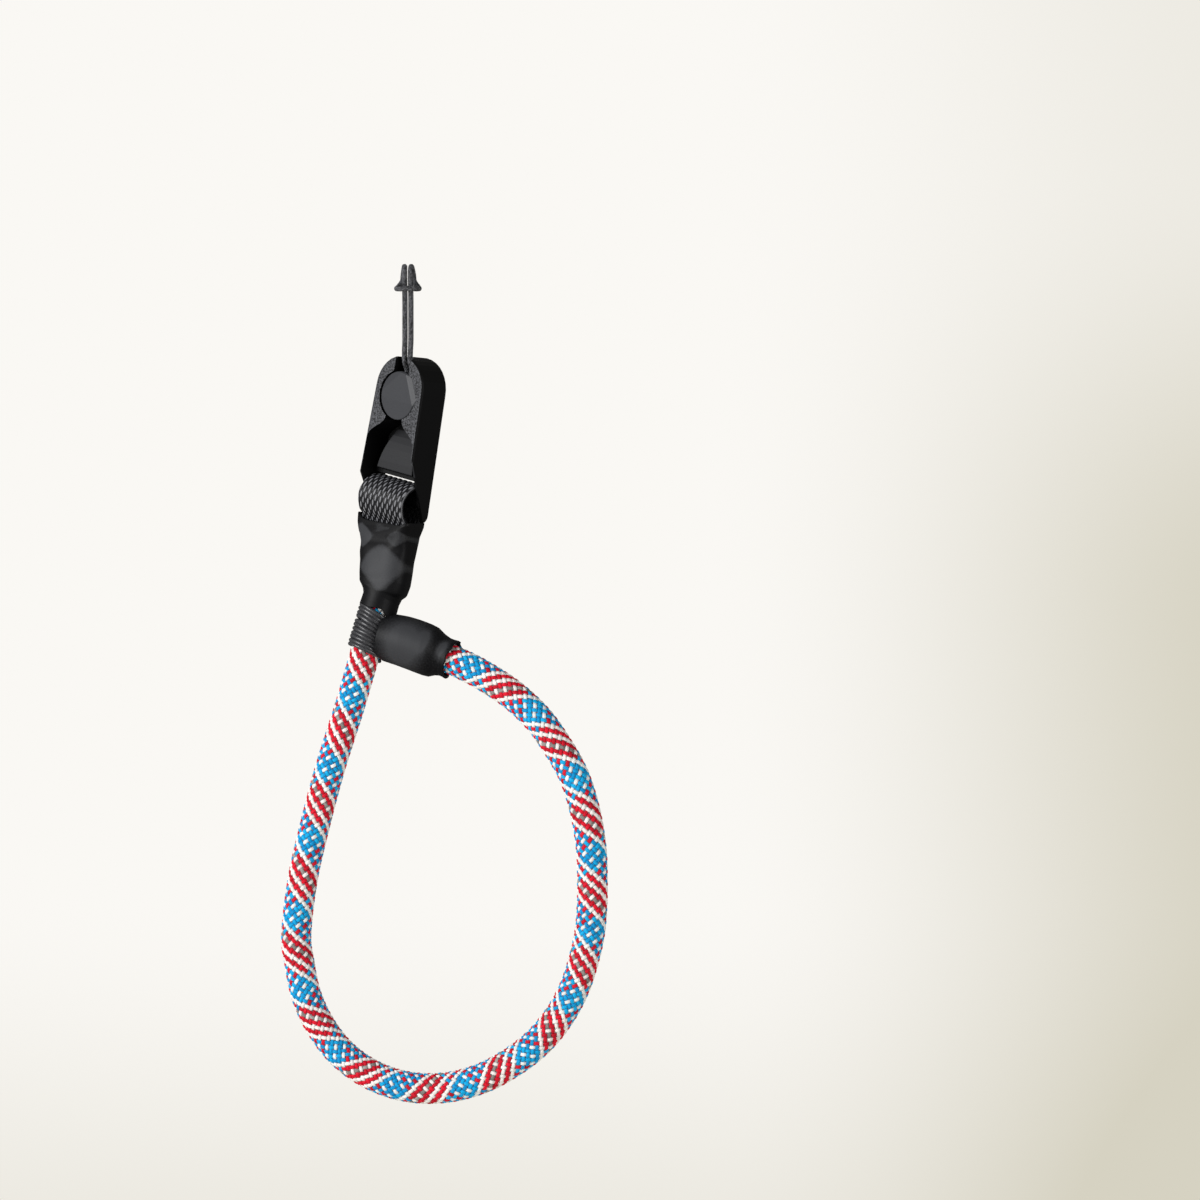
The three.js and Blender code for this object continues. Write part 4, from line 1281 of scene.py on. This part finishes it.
@dataclass
class SideCuff:
    """Rubber sleeve over the rope's other end, fitted against the whipping."""

    diameter: float = 15.6
    reach: float = 3.9
    cover: float = 15.6
    lopside: float = 0.07
    ragged: float = 0.9
    around: int = 120
    rings: int = 90
    # Columns: share of the length from the mouth to the whipping, and swell over the bare neck
    sections: tuple[tuple[float, float], ...] = (
        (0.0, 0.14),
        (0.04, 0.06),
        (0.1, 0.05),
        (0.18, 0.32),
        (0.27, 0.86),
        (0.36, 0.98),
        (0.5, 1.0),
        (0.68, 0.97),
        (0.84, 0.86),
        (1.0, 0.66),
    )
    # Facets of painted highlight on the rubber: share, degrees round from the top, their reach
    facets: tuple[tuple[float, ...], ...] = (
        (0.1, 62, 26, 0.05),
        (0.36, 66, 24, 0.07),
        (0.62, 95, 60, 0.24),
    )
    # Brightness of the plain rubber, and the painted highlight that a facet adds to it
    plain_tone: float = 0.34
    facet_highlight: float = 0.6
    # How coarse the tears at the mouth are and how fast they fade along the cuff
    tear_grain: tuple[float, float] = (2.3, 4.0)
    tear_fade: int = 8

    def wall(self, outer: bool) -> np.ndarray:
        """Shapes one side of the wall.

        Args:
            outer: Whether it is the outer side.

        Returns:
            Its rings, from the mouth to the whipping.
        """
        place = Whipping().place()
        middle = np.array(place.translation)
        axis = np.array(place.to_3x3() @ Vector((0, 0, 1)))
        end = ROPE.at(ROPE.length)
        way = (end - middle) / np.linalg.norm(end - middle)
        curve = Route([
            Vector(ROPE.at(ROPE.length - self.cover)),
            Vector(ROPE.at(ROPE.length - self.cover / 2)),
            Vector(end),
            Vector(middle + way * self.reach),
        ])
        share = np.linspace(0, 1, self.rings)[:, None]
        angle = np.linspace(0, 2 * math.pi, self.around, endpoint=False)[None, :]
        table = np.array(self.sections)
        shoulder = share - self.lopside * np.cos(angle) * np.sin(math.pi * share)
        swell = np.interp(shoulder, table[:, 0], table[:, 1])
        inset = 0.0 if outer else CUFF_WALL
        radius = NECK_RADIUS + (self.diameter / 2 - NECK_RADIUS) * swell - inset
        distance = share[:, 0] * curve.length
        centre, along = curve.at(distance), curve.along(distance)
        across = project_off(np.array([0.0, 0.0, 1.0]), along)
        back = np.cross(across, along)
        points = rings_round(centre, across, back, radius * np.cos(angle), radius * np.sin(angle))
        grain, row = self.tear_grain
        spots = [Vector((math.cos(a) * grain, math.sin(a) * grain, row)) for a in angle[0]]
        torn = np.array([noise.noise(spot) for spot in spots])
        points -= along[:, None, :] * (self.ragged * torn * (1 - share) ** self.tear_fade)[..., None]
        return self.fit_to_whipping(points, along, middle, axis)

    def painted_light(self, share: np.ndarray, bearing: np.ndarray) -> np.ndarray:
        """Finds the painted highlights on the facets.

        Args:
            share: The share of the cuff's length, from the mouth on.
            bearing: Degrees round it from the top.

        Returns:
            How brightly the surface is painted, from the plain rubber to painted highlights on its facets.
        """
        bright = np.full(np.broadcast_shapes(share.shape, bearing.shape), self.plain_tone)
        for along, around, reach, span in self.facets:
            bright += self.facet_highlight * bell(degrees_apart(bearing, around) / reach, (share - along) / span)
        return bright

    def fit_to_whipping(
        self, points: np.ndarray, along: np.ndarray, middle: np.ndarray, axis: np.ndarray
    ) -> np.ndarray:
        """Draws back every point that would lie in the whipping, along the cuff.

        Args:
            points: The rings of the wall.
            along: The cuff's direction at each ring, toward the whipping.
            middle: The whipping's middle.
            axis: The whipping's axis.

        Returns:
            The rings, with a saddle where they meet the whipping.
        """
        keep_out = WHIPPING_RADIUS + FIT
        from_axis = points - middle
        from_axis = from_axis - (from_axis @ axis)[..., None] * axis
        way = along - (along @ axis)[:, None] * axis
        way = np.broadcast_to(way[:, None, :], points.shape)
        a = (way * way).sum(-1)
        b = -2 * (from_axis * way).sum(-1)
        c = (from_axis * from_axis).sum(-1) - keep_out**2
        root = np.sqrt(np.maximum(b * b - 4 * a * c, 0))
        back = np.where(c < 0, (-b + root) / (2 * a), 0.0)
        return points - np.maximum(back, 0)[..., None] * along[:, None, :]

    def build(self) -> bpy.types.Object:
        """Builds the cuff.

        Returns:
            The cuff, with an outer and an inner side.
        """
        outer = self.wall(outer=True)
        inner = self.wall(outer=False)
        rings = np.concatenate([outer, inner[::-1]])
        share = np.linspace(0, 1, self.rings)[:, None]
        bearing = np.linspace(0, 360, self.around, endpoint=False)[None, :]
        # Painted highlights on the facets
        painted_light = self.painted_light(share, bearing)
        sketch = MeshSketch()
        sketch.add_rings(rings, closed=True, crown=np.concatenate([painted_light, painted_light[::-1]]))
        return sketch.make("side_cuff_rubber", [CUFF_RUBBER], "side_cuff")


@dataclass
class QuickLink:
    """The moulded link and its anchor disc, which keep their CAD shapes."""

    finishes: dict[str, Finish] = field(
        default_factory=lambda: {"link_housing": LINK_NYLON, "anchor_disc": DISC_NYLON}
    )

    def dress(self, nodes: dict[str, bpy.types.Object]) -> None:
        """Gives both CAD nodes their finishes.

        Args:
            nodes: The frame's CAD nodes by name.
        """
        for name, finish in self.finishes.items():
            node = nodes[name]
            node.data.materials.clear()
            node.data.materials.append(finish.material())
            LOG.info("%s: CAD shape with %s", name, finish.name)


@dataclass
class Studio:
    """Camera, lights and pale backdrop. Its places are in metres."""

    eye: tuple[float, float, float] = (0.0582, -1.010, -0.0988)
    lens: float = 100.0
    sensor: float = 36.0
    aim: tuple[float, float, float] = (0.01, 0.0, -0.12)
    # Backdrop: its half width, where it starts, the floor's height, the bend up and its top
    half_width: float = 3.0
    near: float = -2.5
    floor: float = -0.75
    bend: float = 0.7
    bend_steps: int = 16
    back: float = 2.0
    top: float = 3.0
    # Paper: where it dims to the right and toward the floor, as the light on it falls off
    paper_light: str = "#faf8f4"
    paper_dim: str = "#d6d2c2"
    dim_right: tuple[float, float] = (0.15, 0.68)
    dim_down: tuple[float, float] = (0.3, -0.12)
    dim_high_up: float = 0.4
    dim_floor: tuple[float, float] = (-0.35, -0.75)
    dim_floor_share: float = 0.6
    room_light: str = "#f4f2ee"
    room_strength: float = 0.14

    def place_camera(self) -> None:
        """Adds the level camera that looks along +Y."""
        data = bpy.data.cameras.new("camera")
        data.lens = self.lens
        data.sensor_width = self.sensor
        data.clip_start = 0.05
        data.clip_end = 20.0
        camera = bpy.data.objects.new("camera", data)
        camera.location = self.eye
        camera.rotation_euler = (math.pi / 2, 0, 0)
        bpy.context.scene.collection.objects.link(camera)
        bpy.context.scene.camera = camera

    def paper(self) -> bpy.types.Material:
        """Makes the background paper.

        Returns:
            Matt paper, lit evenly but for a dimmer right and lower side.
        """
        made = bpy.data.materials.new("matt_background_paper")
        made.use_nodes = True
        tree = made.node_tree
        tree.nodes.clear()
        place = add_node(tree, "ShaderNodeTexCoord").outputs["Object"]
        parts = add_node(tree, "ShaderNodeSeparateXYZ", inputs={0: place})
        dims = []
        for axis, (start, end), low, high in (
            ("X", self.dim_right, 0.0, 1.0),
            ("Z", self.dim_down, self.dim_high_up, 1.0),
            ("Z", self.dim_floor, 0.0, self.dim_floor_share),
        ):
            limits = {"From Min": start, "From Max": end, "To Min": low, "To Max": high}
            reading = {"Value": parts.outputs[axis], **limits}
            smooth = {"interpolation_type": "SMOOTHSTEP"}
            dims.append(add_node(tree, "ShaderNodeMapRange", smooth, reading).outputs["Result"])
        right, down, low = dims
        side = add_node(tree, "ShaderNodeMath", {"operation": "MULTIPLY"}, {0: right, 1: down})
        both = {0: side.outputs[0], 1: low}
        dim = add_node(tree, "ShaderNodeMath", {"operation": "ADD", "use_clamp": True}, both)
        tones = {0: dim.outputs[0], 6: linear(self.paper_light), 7: linear(self.paper_dim)}
        tone = add_node(tree, "ShaderNodeMix", {"data_type": "RGBA"}, tones)
        glow = add_node(tree, "ShaderNodeEmission", inputs={"Color": tone.outputs[2], "Strength": 1.0})
        add_node(tree, "ShaderNodeOutputMaterial", inputs={"Surface": glow.outputs["Emission"]})
        return made

    def build_backdrop(self) -> None:
        """Adds the floor that curves up into the backdrop."""
        start = self.back - self.bend
        bend = [
            (start + self.bend * math.sin(angle), self.floor + self.bend * (1 - math.cos(angle)))
            for angle in np.linspace(0, math.pi / 2, self.bend_steps)
        ]
        profile = [(self.near, self.floor), *bend, (self.back, self.top)]
        corners = [(x, y, z) for y, z in profile for x in (-self.half_width, self.half_width)]
        faces = [(2 * row, 2 * row + 1, 2 * row + 3, 2 * row + 2) for row in range(len(profile) - 1)]
        mesh = bpy.data.meshes.new("paper_backdrop")
        mesh.from_pydata(corners, [], faces)
        mesh.polygons.foreach_set("use_smooth", [True] * len(faces))
        mesh.materials.append(self.paper())
        backdrop = bpy.data.objects.new("paper_backdrop", mesh)
        bpy.context.scene.collection.objects.link(backdrop)
        backdrop.visible_glossy = False

    def add_light(self, name: str, place: tuple[float, float, float], size: float, power: float) -> None:
        """Adds a square soft light that faces the strap.

        Args:
            name: The light's name.
            place: Where it stands.
            size: How wide it is.
            power: How strong it is, in watts.
        """
        data = bpy.data.lights.new(name, "AREA")
        data.size = size
        data.energy = power
        light = bpy.data.objects.new(name, data)
        light.location = place
        light.rotation_euler = (Vector(self.aim) - Vector(place)).to_track_quat("-Z", "Y").to_euler()
        bpy.context.scene.collection.objects.link(light)

    def build_lights(self) -> None:
        """Adds the key light from the front left, a weak fill and the light of the room."""
        self.add_light("key_light", (-1.02, -0.72, 0.26), size=0.7, power=17.5)
        self.add_light("fill_light", (0.85, -0.95, 0.0), size=0.5, power=5.5)
        world = bpy.data.worlds.new("room_light")
        world.use_nodes = True
        background = world.node_tree.nodes["Background"]
        background.inputs["Color"].default_value = linear(self.room_light)
        background.inputs["Strength"].default_value = self.room_strength
        bpy.context.scene.world = world
        bpy.context.scene.view_settings.view_transform = "Standard"


def main() -> None:
    """Builds the dressed strap and its studio, piece by piece."""
    logging.basicConfig(level=logging.INFO, format="%(name)s: %(message)s")
    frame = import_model()
    studio = Studio()
    studio.place_camera()
    for maker in (RopeLoop(), AnchorCord(), WebbingLoop(), UpperCuff(), Whipping(), SideCuff()):
        piece = maker.build()
        LOG.info("built %s", piece.name)
    QuickLink().dress(frame["nodes"])
    studio.build_backdrop()
    studio.build_lights()


if __name__ == "__main__":
    main()
